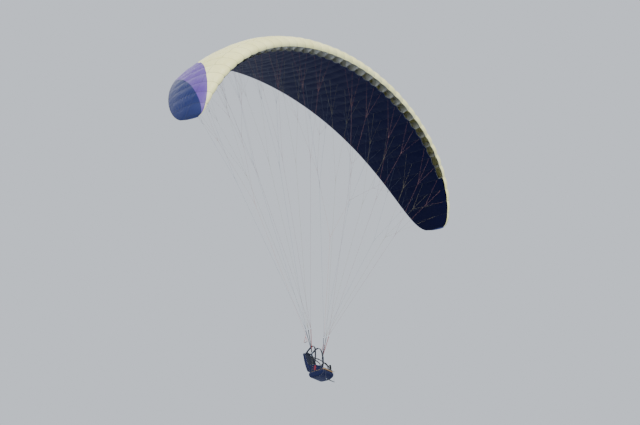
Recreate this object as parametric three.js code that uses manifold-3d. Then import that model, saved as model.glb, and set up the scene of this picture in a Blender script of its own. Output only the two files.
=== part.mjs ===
// Paraglider: a ram-air wing sewn from cells, its line rows, its risers and its seated harness.
// Millimetres, +Z up. It flies towards -Y, its span lies along X, and its left wing is at +X.
// The origin is the middle of the wing, on the root chord line, straight above the hanging points.
import * as THREE from 'three';
import { mergeVertices } from 'three/addons/utils/BufferGeometryUtils.js';
import Module from 'manifold-3d';

const wasm = await Module();
wasm.setup();

// Wing
const FLAT_SPAN = 11700;
const ROOT_CHORD = 2550;
const TIP_CHORD = 400;
const TAPER_POWER = 1.9;
const HANG_CHORD_SHARE = 0.33;
const SWEEP_SHARE = 0.3;
const TILT_EVEN_DEG = 46;
const TILT_TIP_DEG = 34;
const THICKNESS = 0.18;
const BULGE_REAR_POWER = 6;
const BULGE_TIP_SHARE = 0.25;
const CAMBER = 0.03;
const CAMBER_AT = 0.3;
const EDGE_HALF = 3;
const CELLS_A_SIDE = 20;
const SKIN = 8;
const RIB = 6;
const RIB_END = 0.9;
const BULGE_SHARE = 0.085;
const INTAKE_UPPER_LIP = 0.015;
const INTAKE_LOWER_LIP = 0.065;
const CLOSED_LOWER_LIP = 0.022;
const SEAM_GAP = 0.3;
const WELD = 0.02;

// Lines
const LINE_RADIUS = 1.5;
const KNOT_RADIUS = 7;
const TAB_RADIUS = 4;
const STRAND_SPACING = 4;
const FORK_SHARES = [0.62];
const BRAKE_FORK_SHARES = [0.5, 0.5];
const BRAKE_CHORD_SHARE = 0.97;
const LINE_EYE = 12;
const LINE_LOOP_FOOT = 4;
const LINE_LOOP_RISE = 14;

// Risers
const HANG_DROP = 7350;
const HANG_HALF = 210;
const RISER_LENGTH = 505;
const RISER_LEAN_DEG = 14;
const RISER_FAN = 75;
const WEB_WIDTH = 18;
const WEB_THICK = 2.5;
const LOOP_RADIUS = 4.5;
const LOOP_HALF = 14;
const LOOP_RISE = 34;
const LOOP_SHOULDER = 0.8;
const SLEEVE_EXTRA = 4;
const SLEEVE_HEIGHT = 14;
const EYE_HEIGHT = 14;
const EYE_THICK_SHARE = 0.8;
const WEB_LAP = 5;
const LINK_WIRE = 2.5;
const LINK_HALF_WIDTH = 15;
const LINK_HEIGHT = 40;
const EYE_CLEAR = 0.4;

// Brake toggles
const PULLEY_SHARE = 0.78;
const PULLEY_OUT = 30;
const PULLEY_BACK = 20;
const PULLEY_RADIUS = 9;
const PULLEY_WIRE = 2.2;
const PULLEY_WEB_WIDTH = 10;
const PULLEY_WEB_THICK = 3;
const BRAKE_KNOT_RISE = 15;
const BRAKE_KNOT_FLAT = 0.75;
const TOGGLE_STUB = 60;
const TOGGLE_HALF_WIDTH = 55;
const TOGGLE_HEIGHT = 120;
const TOGGLE_GRIP = 7;
const TOGGLE_NECK_HALF = 8;
const TOGGLE_CORNER = 12;
const SWIVEL_RADIUS = 6;
const SWIVEL_BELOW = 2;
const SWIVEL_ABOVE = 24;

// Carabiners
const CARABINER_WIRE = 5;
const CARABINER_BEND = 26;
const CARABINER_STRAIGHT = 52;

// Harness
const SEAT_DROP = 430;
const SEAT_HALF_WIDTH = 180;
const SEAT_FRONT = -347;
const SEAT_BACK = 25;
const SEAT_CORNER = 45;
const SEAT_PAD_THICK = 25;
const SEAT_SOFT = 6;
const SEAT_BOARD_THICK = 12;
const SHELL_HALF_WIDTH = 195;
const PROTECTOR_THICK = 175;
const PROTECTOR_SOFT = 22;
const PACK_SOFT = 16;
const BACK_RECLINE_DEG = 22;
const BACK_LENGTH = 600;
const BACK_HALF_WIDTH = 165;
const BACK_THICK = 35;
const BACK_TAPER = 25;
const BACK_SOFT = 8;
const BACK_FOOT_AHEAD = 2.7;
const BACK_FOOT_SINK = 20;
const PACK_THICK = 105;
const PACK_TOP_THICK = 60;
const PACK_HALF_WIDTH = 160;
const SIDE_THICK = 10;
const SIDE_HEIGHT = 185;
const STRAP_WIDTH = 25;
const STRAP_THICK = 3;
const STRAP_END_DROP = 450;
const CHEST_DROP = 118;
const CHEST_END_AHEAD = 2;
const CHEST_AHEAD = 30;
const BUCKLE_WIDTH = 60;
const BUCKLE_THICK = 12;
const BUCKLE_HEIGHT = 34;
const SHOULDER_WIDTH = 50;
const SHOULDER_THICK = 12;
const LEG_STRAP_WIDTH = 40;
const LEG_STRAP_THICK = 5;
const SPEED_PIN_FORWARD = 35;
const SPEED_PIN_RADIUS = 3;
const SPEED_PIN_LENGTH = 26;
const LUG_INSET = 20;
const LUG_THICK = 5;
const LUG_AHEAD = 2;
const LUG_LAP = 22;
const SPEED_BAR_DROP = 260;
const SPEED_BAR_HALF = 160;
const SPEED_BAR_RADIUS = 9;
const SPEED_CORD_RADIUS = 2;
const SPEED_CORD_INSET = 8;
const SPEED_RING_RADIUS = 6;
const HANDLE_WIRE = 6;
const HANDLE_BACK = -90;
const HANDLE_DROP = 400;
const HANDLE_BEND = 22;
const HANDLE_STRAIGHT = 60;

const fabric = (colour) => new THREE.MeshStandardMaterial({ color: colour, roughness: 0.62, metalness: 0 });
const metal = (colour) => new THREE.MeshStandardMaterial({ color: colour, roughness: 0.3, metalness: 1 });
const materials = {
  upper: fabric(0xe6e3a8),
  lower: fabric(0x050a36),
  tip: fabric(0x44578a),
  accent: fabric(0x8a6aa6),
  line: fabric(0xc9ccd2),
  webbing: fabric(0x12142a),
  harness: fabric(0x0a1f4c),
  pad: fabric(0x161a24),
  board: new THREE.MeshStandardMaterial({ color: 0x9c7a4e, roughness: 0.55, metalness: 0 }),
  grip: fabric(0x23262d),
  handle: fabric(0xb3202a),
  steel: metal(0xb9bcc0),
  alloy: metal(0x8d9299),
};

const paraglider = new THREE.Group();

// Solids: a closed mesh of points and triangles, and back to a mesh of the scene.
function solidOf(positions, triangles) {
  const points = positions.flatMap((p) => [p.x, p.y, p.z]);
  const body = (order) => new wasm.Manifold(new wasm.Mesh({
    numProp: 3,
    vertProperties: new Float32Array(points),
    triVerts: new Uint32Array(order),
  }));
  const first = body(triangles);
  if (first.volume() > 0) return first;
  const turned = [];
  for (let i = 0; i < triangles.length; i += 3) {
    turned.push(triangles[i], triangles[i + 2], triangles[i + 1]);
  }
  return body(turned);
}

function solidFrom(geometry, matrix = new THREE.Matrix4()) {
  const bare = geometry.clone();
  bare.deleteAttribute('normal');
  bare.deleteAttribute('uv');
  const merged = mergeVertices(bare, 1e-3);
  const at = merged.getAttribute('position');
  const positions = Array.from({ length: at.count }, (_, i) => (
    new THREE.Vector3().fromBufferAttribute(at, i).applyMatrix4(matrix)
  ));
  return solidOf(positions, Array.from(merged.index.array));
}

function joined(solids) {
  return solids.reduce((whole, next) => whole.add(next));
}

// Points closer together than WELD become one, so that a join leaves no hair-thin triangles.
function addPiece(name, solid, material) {
  const { vertProperties, triVerts, numProp } = solid.getMesh();
  const points = [];
  const numberOf = new Map();
  const places = [];
  for (let i = 0; i < vertProperties.length; i += numProp) {
    const place = Array.from(vertProperties.subarray(i, i + 3), (value) => Math.round(value / WELD) * WELD);
    const key = place.map((value) => Math.round(value / WELD)).join();
    if (!numberOf.has(key)) {
      numberOf.set(key, points.length / 3);
      points.push(...place);
    }
    places.push(numberOf.get(key));
  }
  const triangles = [];
  for (let i = 0; i < triVerts.length; i += 3) {
    const [a, b, c] = Array.from(triVerts.subarray(i, i + 3), (number) => places[number]);
    if (a !== b && b !== c && c !== a) triangles.push(a, b, c);
  }
  const geometry = new THREE.BufferGeometry();
  geometry.setAttribute('position', new THREE.Float32BufferAttribute(points, 3));
  geometry.setIndex(triangles);
  geometry.computeVertexNormals();
  const piece = new THREE.Mesh(geometry, material);
  piece.name = name;
  paraglider.add(piece);
}

// The triangles of a flat end face, turned the way its outline runs.
function endFace(flat) {
  const runs = Math.sign(THREE.ShapeUtils.area(flat));
  return THREE.ShapeUtils.triangulateShape(flat, []).map(([a, b, c]) => {
    const turn = Math.sign(THREE.ShapeUtils.area([flat[a], flat[b], flat[c]]));
    return turn === runs ? [a, b, c] : [a, c, b];
  });
}

// A body between outlines: each outline has the same number of points, and flats gives the first and
// the last of them in plane coordinates.
function loft(outlines, flats) {
  const count = outlines[0].length;
  const positions = outlines.flat();
  const triangles = [];
  for (let i = 0; i + 1 < outlines.length; i += 1) {
    for (let j = 0; j < count; j += 1) {
      const a = i * count + j;
      const b = i * count + ((j + 1) % count);
      triangles.push(a, b, a + count, b, b + count, a + count);
    }
  }
  const lastStart = (outlines.length - 1) * count;
  for (const [a, b, c] of endFace(flats[0])) triangles.push(a, c, b);
  for (const [a, b, c] of endFace(flats[1])) triangles.push(lastStart + a, lastStart + b, lastStart + c);
  return solidOf(positions, triangles);
}

const vec = (x, y, z) => new THREE.Vector3(x, y, z);

function rod(from, to, radius, sides = 6) {
  const along = to.clone().sub(from);
  const turn = new THREE.Quaternion().setFromUnitVectors(vec(0, 1, 0), along.clone().normalize());
  const place = new THREE.Matrix4().compose(from.clone().add(to).multiplyScalar(0.5), turn, vec(1, 1, 1));
  return solidFrom(new THREE.CylinderGeometry(radius, radius, along.length(), sides), place);
}

function knot(at, radius) {
  return solidFrom(new THREE.IcosahedronGeometry(radius, 0), new THREE.Matrix4().makeTranslation(at));
}

function block(sx, sy, sz, at, tiltX = 0) {
  const place = new THREE.Matrix4().makeRotationX(tiltX).setPosition(at);
  return solidFrom(new THREE.BoxGeometry(sx, sy, sz), place);
}

const TO_LEFT = vec(1, 0, 0);
const TO_REAR = vec(0, 1, 0);
const TO_TOP = vec(0, 0, 1);

// A round wire along a closed path that lies in one plane.
function wireRing(path, planeNormal, radius, sides = 6) {
  const rings = path.map((point, i) => {
    const before = path[(i + path.length - 1) % path.length];
    const after = path[(i + 1) % path.length];
    const along = after.clone().sub(before).normalize();
    const out = along.clone().cross(planeNormal).normalize();
    return Array.from({ length: sides }, (_, k) => {
      const turn = (2 * Math.PI * (k + 0.5)) / sides;
      return point.clone()
        .addScaledVector(out, radius * Math.cos(turn))
        .addScaledVector(planeNormal, radius * Math.sin(turn));
    });
  });
  const triangles = [];
  for (let i = 0; i < rings.length; i += 1) {
    for (let k = 0; k < sides; k += 1) {
      const a = i * sides + k;
      const b = i * sides + ((k + 1) % sides);
      const c = ((i + 1) % rings.length) * sides + k;
      const d = ((i + 1) % rings.length) * sides + ((k + 1) % sides);
      triangles.push(a, b, c, b, d, c);
    }
  }
  return solidOf(rings.flat(), triangles);
}

// The long round outline of a link, in its own plane: two half circles and straight sides.
function linkPath(centre, across, up, bend, straight, steps = 5) {
  const path = [];
  for (const end of [1, -1]) {
    for (let i = 0; i <= steps; i += 1) {
      const turn = (Math.PI * i) / steps;
      path.push(centre.clone()
        .addScaledVector(across, end * bend * Math.cos(turn))
        .addScaledVector(up, end * (straight / 2 + bend * Math.sin(turn))));
    }
  }
  return path;
}

const smooth = (points, steps) => new THREE.CatmullRomCurve3(points).getPoints(steps * (points.length - 1));

// A closed circle of points round a middle, in the plane of across and up.
function circlePath(middle, across, up, radius, steps) {
  return Array.from({ length: steps }, (_, i) => {
    const turn = (2 * Math.PI * i) / steps;
    return middle.clone()
      .addScaledVector(across, radius * Math.cos(turn))
      .addScaledVector(up, radius * Math.sin(turn));
  });
}

// A flat strap along a path, its width lying along side.
function strap(path, width, thick, side) {
  const outlines = path.map((point, i) => {
    const before = path[Math.max(i - 1, 0)];
    const after = path[Math.min(i + 1, path.length - 1)];
    const along = after.clone().sub(before).normalize();
    const across = Array.isArray(side) ? side[i] : side;
    const wide = across.clone().addScaledVector(along, -across.dot(along)).normalize();
    const out = along.clone().cross(wide);
    const corners = [[1, 1], [-1, 1], [-1, -1], [1, -1]];
    return corners.map(([w, t]) => point.clone()
      .addScaledVector(wide, (w * width) / 2)
      .addScaledVector(out, (t * thick) / 2));
  });
  const flat = [[1, 1], [-1, 1], [-1, -1], [1, -1]].map(([w, t]) => new THREE.Vector2(w * width, t * thick));
  return loft(outlines, [flat, flat]);
}

// The wing's arc, seen from the front: its tilt grows evenly, and faster near the tip.
const ARC_STEPS = 400;
const arc = [{ x: 0, z: 0 }];
const tiltAt = (share) => THREE.MathUtils.degToRad(TILT_EVEN_DEG * share + TILT_TIP_DEG * share ** 3);
for (let i = 1; i <= ARC_STEPS; i += 1) {
  const tilt = tiltAt((i - 0.5) / ARC_STEPS);
  const step = FLAT_SPAN / 2 / ARC_STEPS;
  arc.push({ x: arc[i - 1].x + step * Math.cos(tilt), z: arc[i - 1].z - step * Math.sin(tilt) });
}

function arcAt(share) {
  const at = Math.min(share * ARC_STEPS, ARC_STEPS - 1e-9);
  const i = Math.floor(at);
  const part = at - i;
  return {
    x: arc[i].x + part * (arc[i + 1].x - arc[i].x),
    z: arc[i].z + part * (arc[i + 1].z - arc[i].z),
  };
}

const chordAt = (share) => TIP_CHORD
  + (ROOT_CHORD - TIP_CHORD) * Math.sqrt(Math.max(0, 1 - share ** TAPER_POWER));

// A point of the wing: station from -1 to 1 along the span, back as a share of the chord, and height
// in millimetres outwards from the chord line.
function wingPoint(station, back, height) {
  const share = Math.abs(station);
  const side = Math.sign(station) || 1;
  const tilt = tiltAt(share);
  const { x, z } = arcAt(share);
  const chord = chordAt(share);
  const nose = -HANG_CHORD_SHARE * ROOT_CHORD + SWEEP_SHARE * (ROOT_CHORD - chord);
  return vec(
    side * (x + Math.sin(tilt) * height),
    nose + back * chord,
    z + Math.cos(tilt) * height,
  );
}

const halfThickness = (back) => 5 * THICKNESS * (
  0.2969 * Math.sqrt(back) - 0.126 * back - 0.3516 * back ** 2 + 0.2843 * back ** 3 - 0.1036 * back ** 4
);

function camberLine(back) {
  if (back < CAMBER_AT) return (CAMBER / CAMBER_AT ** 2) * (2 * CAMBER_AT * back - back * back);
  return (CAMBER / (1 - CAMBER_AT) ** 2) * (1 - 2 * CAMBER_AT + 2 * CAMBER_AT * back - back * back);
}

// The section in its own plane, in millimetres: side 1 is the upper face and -1 the lower.
function sectionPoint(chord, back, side) {
  const height = camberLine(back) * chord + side * (halfThickness(back) * chord + EDGE_HALF * back);
  return new THREE.Vector2(back * chord, height);
}

// The outward direction of the section's outline.
function sectionNormal(chord, back, side) {
  if (back === 0) return new THREE.Vector2(-1, 0);
  const near = 0.002;
  const a = sectionPoint(chord, Math.max(back - near, back / 2), side);
  const b = sectionPoint(chord, Math.min(back + near, 1), side);
  return new THREE.Vector2(-(b.y - a.y) * side, (b.x - a.x) * side).normalize();
}

const cellWidth = FLAT_SPAN / 2 / CELLS_A_SIDE;
const bulgeAt = (station) => (
  Math.abs(Math.sin(Math.abs(station) * CELLS_A_SIDE * Math.PI)) * BULGE_SHARE * cellWidth
);

// A point of the skin: the section's outline, pushed out where the cell is blown full, and inset for
// the skin's inner face. Behind the middle of the chord the inset is straight down or up, and the
// inner faces of both skins stop at the camber line.
function skinPoint(station, back, side, inset) {
  const chord = chordAt(Math.abs(station));
  const at = sectionPoint(chord, back, side);
  const fullness = (1 - back ** BULGE_REAR_POWER) * Math.min(1, chord / ROOT_CHORD + BULGE_TIP_SHARE);
  const bulge = bulgeAt(station) * fullness;
  if (back < 0.5) return at.addScaledVector(sectionNormal(chord, back, side), bulge - inset);
  const middle = camberLine(back) * chord + (side * SEAM_GAP) / 2;
  at.y += side * (bulge - inset);
  if (inset > 0 && (at.y - middle) * side < 0) at.y = middle;
  return at;
}

// Chord shares of the outline's points. The upper skin starts under the nose, at the intake's lip.
const REAR_POINTS = [0.62, 0.8, 0.92, 1];
const UPPER_POINTS = [
  [INTAKE_UPPER_LIP, -1], [0.004, -1], [0, 1], [0.006, 1], [0.03, 1], [0.08, 1], [0.16, 1],
  [0.28, 1], [0.44, 1], ...REAR_POINTS.map((back) => [back, 1]),
];
const LOWER_REAR = [[0.13, -1], [0.25, -1], [0.42, -1], ...REAR_POINTS.map((back) => [back, -1])];
const OPEN_LOWER_POINTS = [[INTAKE_LOWER_LIP, -1], ...LOWER_REAR];
const CLOSED_LOWER_POINTS = [[CLOSED_LOWER_LIP, -1], ...LOWER_REAR];

function skinOutline(station, points) {
  const outer = points.map(([back, side]) => skinPoint(station, back, side, 0));
  const inner = points.map(([back, side]) => skinPoint(station, back, side, SKIN)).reverse();
  return outer.concat(inner);
}

function onWing(station, outline) {
  const chord = chordAt(Math.abs(station));
  return outline.map((p) => wingPoint(station, p.x / chord, p.y));
}

function skinStations(fromCell, toCell) {
  const inset = SEAM_GAP / FLAT_SPAN;
  const stations = [];
  for (let half = 2 * fromCell; half <= 2 * toCell; half += 1) stations.push(half / 2 / CELLS_A_SIDE);
  stations[0] += inset;
  stations[stations.length - 1] -= inset;
  return stations;
}

function skin(fromCell, toCell, points) {
  const stations = skinStations(fromCell, toCell);
  const flats = stations.map((station) => skinOutline(station, points));
  return loft(stations.map((station, i) => onWing(station, flats[i])), [flats[0], flats[flats.length - 1]]);
}

// A rib stands on the lower skin and ends just under the upper one. Its front edge closes the gap
// between two intakes. It fills the first few millimetres from its own station towards the next one.
function rib(station, next, lowerPoints) {
  const roof = UPPER_POINTS.filter(([back]) => back < RIB_END);
  const floor = lowerPoints.filter(([back]) => back < RIB_END).reverse();
  const outline = (at) => roof
    .map(([back, side]) => skinPoint(at, back, side, SKIN + SEAM_GAP))
    .concat(floor.map(([back, side]) => skinPoint(at, back, side, SKIN / 2)));
  const near = onWing(station, outline(station));
  const far = onWing(next, outline(next));
  const share = RIB / (Math.abs(next - station) * (FLAT_SPAN / 2));
  const inner = near.map((point, i) => point.clone().lerp(far[i], share));
  return loft([near, inner], [outline(station), outline(station)]);
}

function lowerSkinWithRibs(fromCell, toCell, points) {
  const stations = skinStations(fromCell, toCell);
  const count = stations.length;
  return joined([
    skin(fromCell, toCell, points),
    rib(stations[0], stations[1], points),
    rib(stations[count - 1], stations[count - 2], points),
  ]);
}

// name of the panel, first and last cell (counted from the middle, left side positive), colour of
// the upper skin, whether its cells are open at the nose
const PANELS = [
  ['tip_right', -20, -16, 'tip', false],
  ['accent_right', -16, -14, 'accent', true],
  ['outer_right', -14, -10, 'upper', true],
  ['inner_right', -10, -5, 'upper', true],
  ['centre', -5, 5, 'upper', true],
  ['inner_left', 5, 10, 'upper', true],
  ['outer_left', 10, 14, 'upper', true],
  ['accent_left', 14, 16, 'accent', true],
  ['tip_left', 16, 20, 'tip', false],
];

function addWing() {
  for (const [name, fromCell, toCell, upperColour, open] of PANELS) {
    const lowerPoints = open ? OPEN_LOWER_POINTS : CLOSED_LOWER_POINTS;
    addPiece(`upper_skin_${name}`, skin(fromCell, toCell, UPPER_POINTS), materials[upperColour]);
    addPiece(`lower_skin_${name}`, lowerSkinWithRibs(fromCell, toCell, lowerPoints), materials.lower);
  }
}

// Where a line is sewn to the lower skin at a rib.
function tabPoint(side, ribNumber, back) {
  const station = (side * ribNumber) / CELLS_A_SIDE;
  const clear = TAB_RADIUS + SEAM_GAP;
  const at = skinPoint(station, back, -1, -clear);
  return wingPoint(station, at.x / chordAt(Math.abs(station)), at.y);
}

const hangPoint = (side) => vec(side * HANG_HALF, 0, -HANG_DROP);
const lean = THREE.MathUtils.degToRad(RISER_LEAN_DEG);
const riserUp = (side) => vec(side * Math.sin(lean), 0, Math.cos(lean));
const riserFoot = (side) => hangPoint(side).add(vec(0, 0, LOOP_RISE));
const riserPoint = (side, share, fan) => riserFoot(side)
  .addScaledVector(riserUp(side), share * RISER_LENGTH)
  .add(vec(0, share * fan * RISER_FAN, 0));

// The steel link at the top of each riser, and the points where web and lines pass through it.
const linkFoot = (side, fan) => riserPoint(side, 1, fan);
const linkHead = (side, fan) => linkFoot(side, fan).addScaledVector(riserUp(side), LINK_HEIGHT);

function eye(at, side, width, height) {
  const turn = new THREE.Matrix4().makeRotationY(side * lean).setPosition(at);
  const body = solidFrom(new THREE.BoxGeometry(height * EYE_THICK_SHARE, width, height), turn);
  const reach = vec(0, width, 0);
  return body.subtract(rod(at.clone().sub(reach), at.clone().add(reach), LINK_WIRE + EYE_CLEAR, 8));
}

// side of the harness and wing, and its name
const SIDES = [[1, 'left'], [-1, 'right']];

// name of the row, its place along the chord, its place in the riser fan
const ROWS = [
  ['a', 0.09, -1],
  ['b', 0.36, 0],
  ['c', 0.66, 1],
];
// Ribs that the lines serve, counted from the middle: each inner list is one line that forks.
const ROW_TREE = [[2, 5], [8, 11], [14, 17]];
const BRAKE_TREE = [[[3, 7], [11, 15]]];

const ribsOf = (branch) => [branch].flat(Infinity);

// Lines that start side by side in one knot and run to their tabs, forking on the way.
function cascade(side, from, branches, back, shares) {
  return branches.flatMap((branch, i) => {
    const beside = side * (i - (branches.length - 1) / 2) * STRAND_SPACING;
    const start = from.clone().add(vec(beside, 0, 0));
    const tabs = ribsOf(branch).map((number) => tabPoint(side, number, back));
    if (tabs.length === 1) return [rod(start, tabs[0], LINE_RADIUS), knot(tabs[0], TAB_RADIUS)];
    const middle = tabs.reduce((sum, tab) => sum.add(tab), vec(0, 0, 0)).divideScalar(tabs.length);
    const fork = start.clone().lerp(middle, shares[0]);
    return [
      rod(start, fork, LINE_RADIUS),
      knot(fork, KNOT_RADIUS),
      ...cascade(side, fork, branch, back, shares.slice(1)),
    ];
  });
}

function addLineRow(side, sideName, [row, back, fan]) {
  const head = linkHead(side, fan);
  const start = head.clone().addScaledVector(riserUp(side), LINE_LOOP_RISE);
  const loop = [
    eye(head, side, LINE_EYE, LINE_EYE),
    rod(head.clone().addScaledVector(riserUp(side), LINE_LOOP_FOOT), start, LINE_RADIUS * 2),
    knot(start, KNOT_RADIUS),
  ];
  const mains = cascade(side, start, ROW_TREE, back, FORK_SHARES);
  addPiece(`${row}_lines_${sideName}`, joined([...loop, ...mains]), materials.line);
}

const pulleyPoint = (side) => riserPoint(side, PULLEY_SHARE, 1).add(vec(side * PULLEY_OUT, PULLEY_BACK, 0));

function addBrakeLines(side, sideName) {
  const start = pulleyPoint(side).add(vec(0, 0, BRAKE_KNOT_RISE));
  const fan = cascade(side, start, BRAKE_TREE, BRAKE_CHORD_SHARE, BRAKE_FORK_SHARES);
  addPiece(`brake_lines_${sideName}`, joined([knot(start, KNOT_RADIUS), ...fan]), materials.line);
}

function addLinks(side, sideName) {
  for (const [row, , fan] of ROWS) {
    const up = riserUp(side);
    const centre = linkFoot(side, fan).lerp(linkHead(side, fan), 0.5);
    const corners = [[-1, -1], [1, -1], [1, 1], [-1, 1]];
    const path = corners.map(([y, z]) => centre.clone()
      .addScaledVector(TO_REAR, y * LINK_HALF_WIDTH)
      .addScaledVector(up, (z * LINK_HEIGHT) / 2));
    const normal = TO_REAR.clone().cross(up).normalize();
    addPiece(`link_${row}_${sideName}`, wireRing(path, normal, LINK_WIRE), materials.steel);
  }
}

function addRiser(side, sideName) {
  const foot = riserFoot(side);
  const up = riserUp(side);
  const bar = [-LOOP_HALF, LOOP_HALF].map((x) => hangPoint(side).add(vec(x, 0, 0)));
  const shoulders = bar.map((end) => end.clone().add(vec(0, 0, LOOP_RISE * LOOP_SHOULDER)));
  const loop = [
    rod(bar[0], bar[1], LOOP_RADIUS, 12),
    ...bar.map((end) => knot(end, LOOP_RADIUS)),
    ...bar.map((end, i) => rod(end, shoulders[i], LOOP_RADIUS)),
    block(2 * (LOOP_HALF + LOOP_RADIUS), WEB_WIDTH + SLEEVE_EXTRA, SLEEVE_HEIGHT, foot),
  ];
  const webs = ROWS.map(([, , fan]) => strap(
    [foot, riserPoint(side, 1, fan).addScaledVector(up, -WEB_LAP)],
    WEB_WIDTH,
    WEB_THICK,
    TO_REAR,
  ));
  const eyes = ROWS.map(([, , fan]) => eye(linkFoot(side, fan), side, WEB_WIDTH, EYE_HEIGHT));
  const pulley = pulleyPoint(side);
  const hold = pulley.clone().add(vec(-side * PULLEY_RADIUS, 0, 0));
  const carrier = [
    wireRing(circlePath(pulley, TO_LEFT, TO_REAR, PULLEY_RADIUS, 10), TO_TOP, PULLEY_WIRE),
    strap([riserPoint(side, PULLEY_SHARE, 1), hold], PULLEY_WEB_WIDTH, PULLEY_WEB_THICK, TO_TOP),
  ];
  addPiece(`riser_${sideName}`, joined([...loop, ...webs, ...eyes, ...carrier]), materials.webbing);
}

function addToggle(side, sideName) {
  const top = pulleyPoint(side).add(vec(0, 0, BRAKE_KNOT_RISE - KNOT_RADIUS + BRAKE_KNOT_FLAT));
  const apex = pulleyPoint(side).add(vec(0, 0, -TOGGLE_STUB));
  const below = (back, down) => apex.clone().add(vec(0, back, -down));
  const path = [
    below(-TOGGLE_NECK_HALF, 0),
    below(-TOGGLE_HALF_WIDTH, TOGGLE_HEIGHT - TOGGLE_CORNER),
    below(-TOGGLE_HALF_WIDTH + TOGGLE_CORNER, TOGGLE_HEIGHT),
    below(TOGGLE_HALF_WIDTH - TOGGLE_CORNER, TOGGLE_HEIGHT),
    below(TOGGLE_HALF_WIDTH, TOGGLE_HEIGHT - TOGGLE_CORNER),
    below(TOGGLE_NECK_HALF, 0),
  ];
  addPiece(`brake_toggle_${sideName}`, joined([
    rod(apex, top, LINE_RADIUS),
    rod(below(0, SWIVEL_BELOW), below(0, -SWIVEL_ABOVE), SWIVEL_RADIUS, 8),
    wireRing(path, TO_LEFT, TOGGLE_GRIP, 8),
  ]), materials.grip);
}

// The carabiner hangs with its top bend over the riser's loop, so that it swings about the loop's bar.
const carabinerCentre = (side) => hangPoint(side).add(vec(
  0,
  0,
  LOOP_RADIUS + SEAM_GAP + CARABINER_WIRE - CARABINER_BEND - CARABINER_STRAIGHT / 2,
));

function addCarabiner(side, sideName) {
  const path = linkPath(carabinerCentre(side), TO_REAR, TO_TOP, CARABINER_BEND, CARABINER_STRAIGHT, 6);
  addPiece(`carabiner_${sideName}`, wireRing(path, TO_LEFT, CARABINER_WIRE, 8), materials.alloy);
}

const harnessZ = (z) => -HANG_DROP + z;
const PAD_FOOT = -SEAT_DROP - SEAT_PAD_THICK;
const BOARD_TOP = PAD_FOOT - SEAM_GAP;
const BOARD_FOOT = BOARD_TOP - SEAT_BOARD_THICK;
const SHELL_TOP = BOARD_FOOT - SEAM_GAP;

const recline = THREE.MathUtils.degToRad(BACK_RECLINE_DEG);
const backUp = vec(0, Math.sin(recline), Math.cos(recline));
const backOut = vec(0, Math.cos(recline), -Math.sin(recline));
const backPoint = (x, up, out) => vec(x, SEAT_BACK - BACK_FOOT_AHEAD, harnessZ(-SEAT_DROP - BACK_FOOT_SINK))
  .addScaledVector(backUp, up).addScaledVector(backOut, out);

// An outline whose corners are rounded: each corner is [across, up, radius].
function roundedOutline(corners, steps = 4) {
  return corners.flatMap(([x, y, radius], i) => {
    const corner = new THREE.Vector2(x, y);
    const [before, after] = [corners.length - 1, 1].map((step) => {
      const next = corners[(i + step) % corners.length];
      return new THREE.Vector2(next[0], next[1]).sub(corner).setLength(radius).add(corner);
    });
    return new THREE.QuadraticBezierCurve(before, corner, after).getPoints(steps);
  });
}

// A padded slab: the outline lies in the plane of across and up, its middle plane passes through
// centre, and its rims are rounded by soft, which stays under the outline's own corner radii.
function slab(corners, centre, across, up, thick, soft) {
  const shape = new THREE.Shape(roundedOutline(corners));
  const geometry = new THREE.ExtrudeGeometry(shape, {
    depth: thick - 2 * soft,
    bevelEnabled: soft > 0,
    bevelThickness: soft,
    bevelSize: soft,
    bevelOffset: -soft,
    bevelSegments: 2,
  });
  geometry.translate(0, 0, soft - thick / 2);
  const through = across.clone().cross(up);
  const place = new THREE.Matrix4().makeBasis(across, up, through).setPosition(centre);
  return solidFrom(geometry, place);
}

const SEAT_PLAN = [
  [-SEAT_HALF_WIDTH, SEAT_FRONT, SEAT_CORNER],
  [SEAT_HALF_WIDTH, SEAT_FRONT, SEAT_CORNER],
  [SEAT_HALF_WIDTH, SEAT_BACK, SEAT_CORNER / 3],
  [-SEAT_HALF_WIDTH, SEAT_BACK, SEAT_CORNER / 3],
];

// Seen from the side: how far back, how far above the hanging points, corner radius.
const PROTECTOR_SIDE = [
  [SEAT_FRONT + 4, SHELL_TOP, 40],
  [SEAT_BACK + 80, SHELL_TOP, 40],
  [SEAT_BACK + 92, SHELL_TOP - 90, 45],
  [SEAT_BACK + 10, SHELL_TOP - PROTECTOR_THICK + 8, 60],
  [SEAT_FRONT + 120, SHELL_TOP - PROTECTOR_THICK, 80],
  [SEAT_FRONT - 6, SHELL_TOP - 105, 55],
];
const SIDE_PANEL_SIDE = [
  [SEAT_FRONT + 25, BOARD_FOOT, 12],
  [SEAT_BACK + 70, BOARD_FOOT, 20],
  [SEAT_BACK + 110, BOARD_FOOT + SIDE_HEIGHT, 30],
  [SEAT_BACK - 60, BOARD_FOOT + SIDE_HEIGHT - 15, 60],
  [SEAT_FRONT + 45, BOARD_FOOT + 75, 30],
];
// Seen from behind: how far out from the middle, how far up the back, corner radius.
const BACK_PLAN = [
  [-BACK_HALF_WIDTH, 0, 20],
  [BACK_HALF_WIDTH, 0, 20],
  [BACK_HALF_WIDTH - BACK_TAPER, BACK_LENGTH, 70],
  [-BACK_HALF_WIDTH + BACK_TAPER, BACK_LENGTH, 70],
];
// Seen from the side along the back: how far out behind the back pad's front, how far up it, corner radius.
const PACK_SIDE = [
  [BACK_THICK + SEAM_GAP, 45, 30],
  [BACK_THICK + PACK_THICK, 60, 45],
  [BACK_THICK + PACK_THICK, 250, 90],
  [BACK_THICK + PACK_TOP_THICK, BACK_LENGTH - 15, 30],
  [BACK_THICK + SEAM_GAP, BACK_LENGTH - 5, 28],
];

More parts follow.
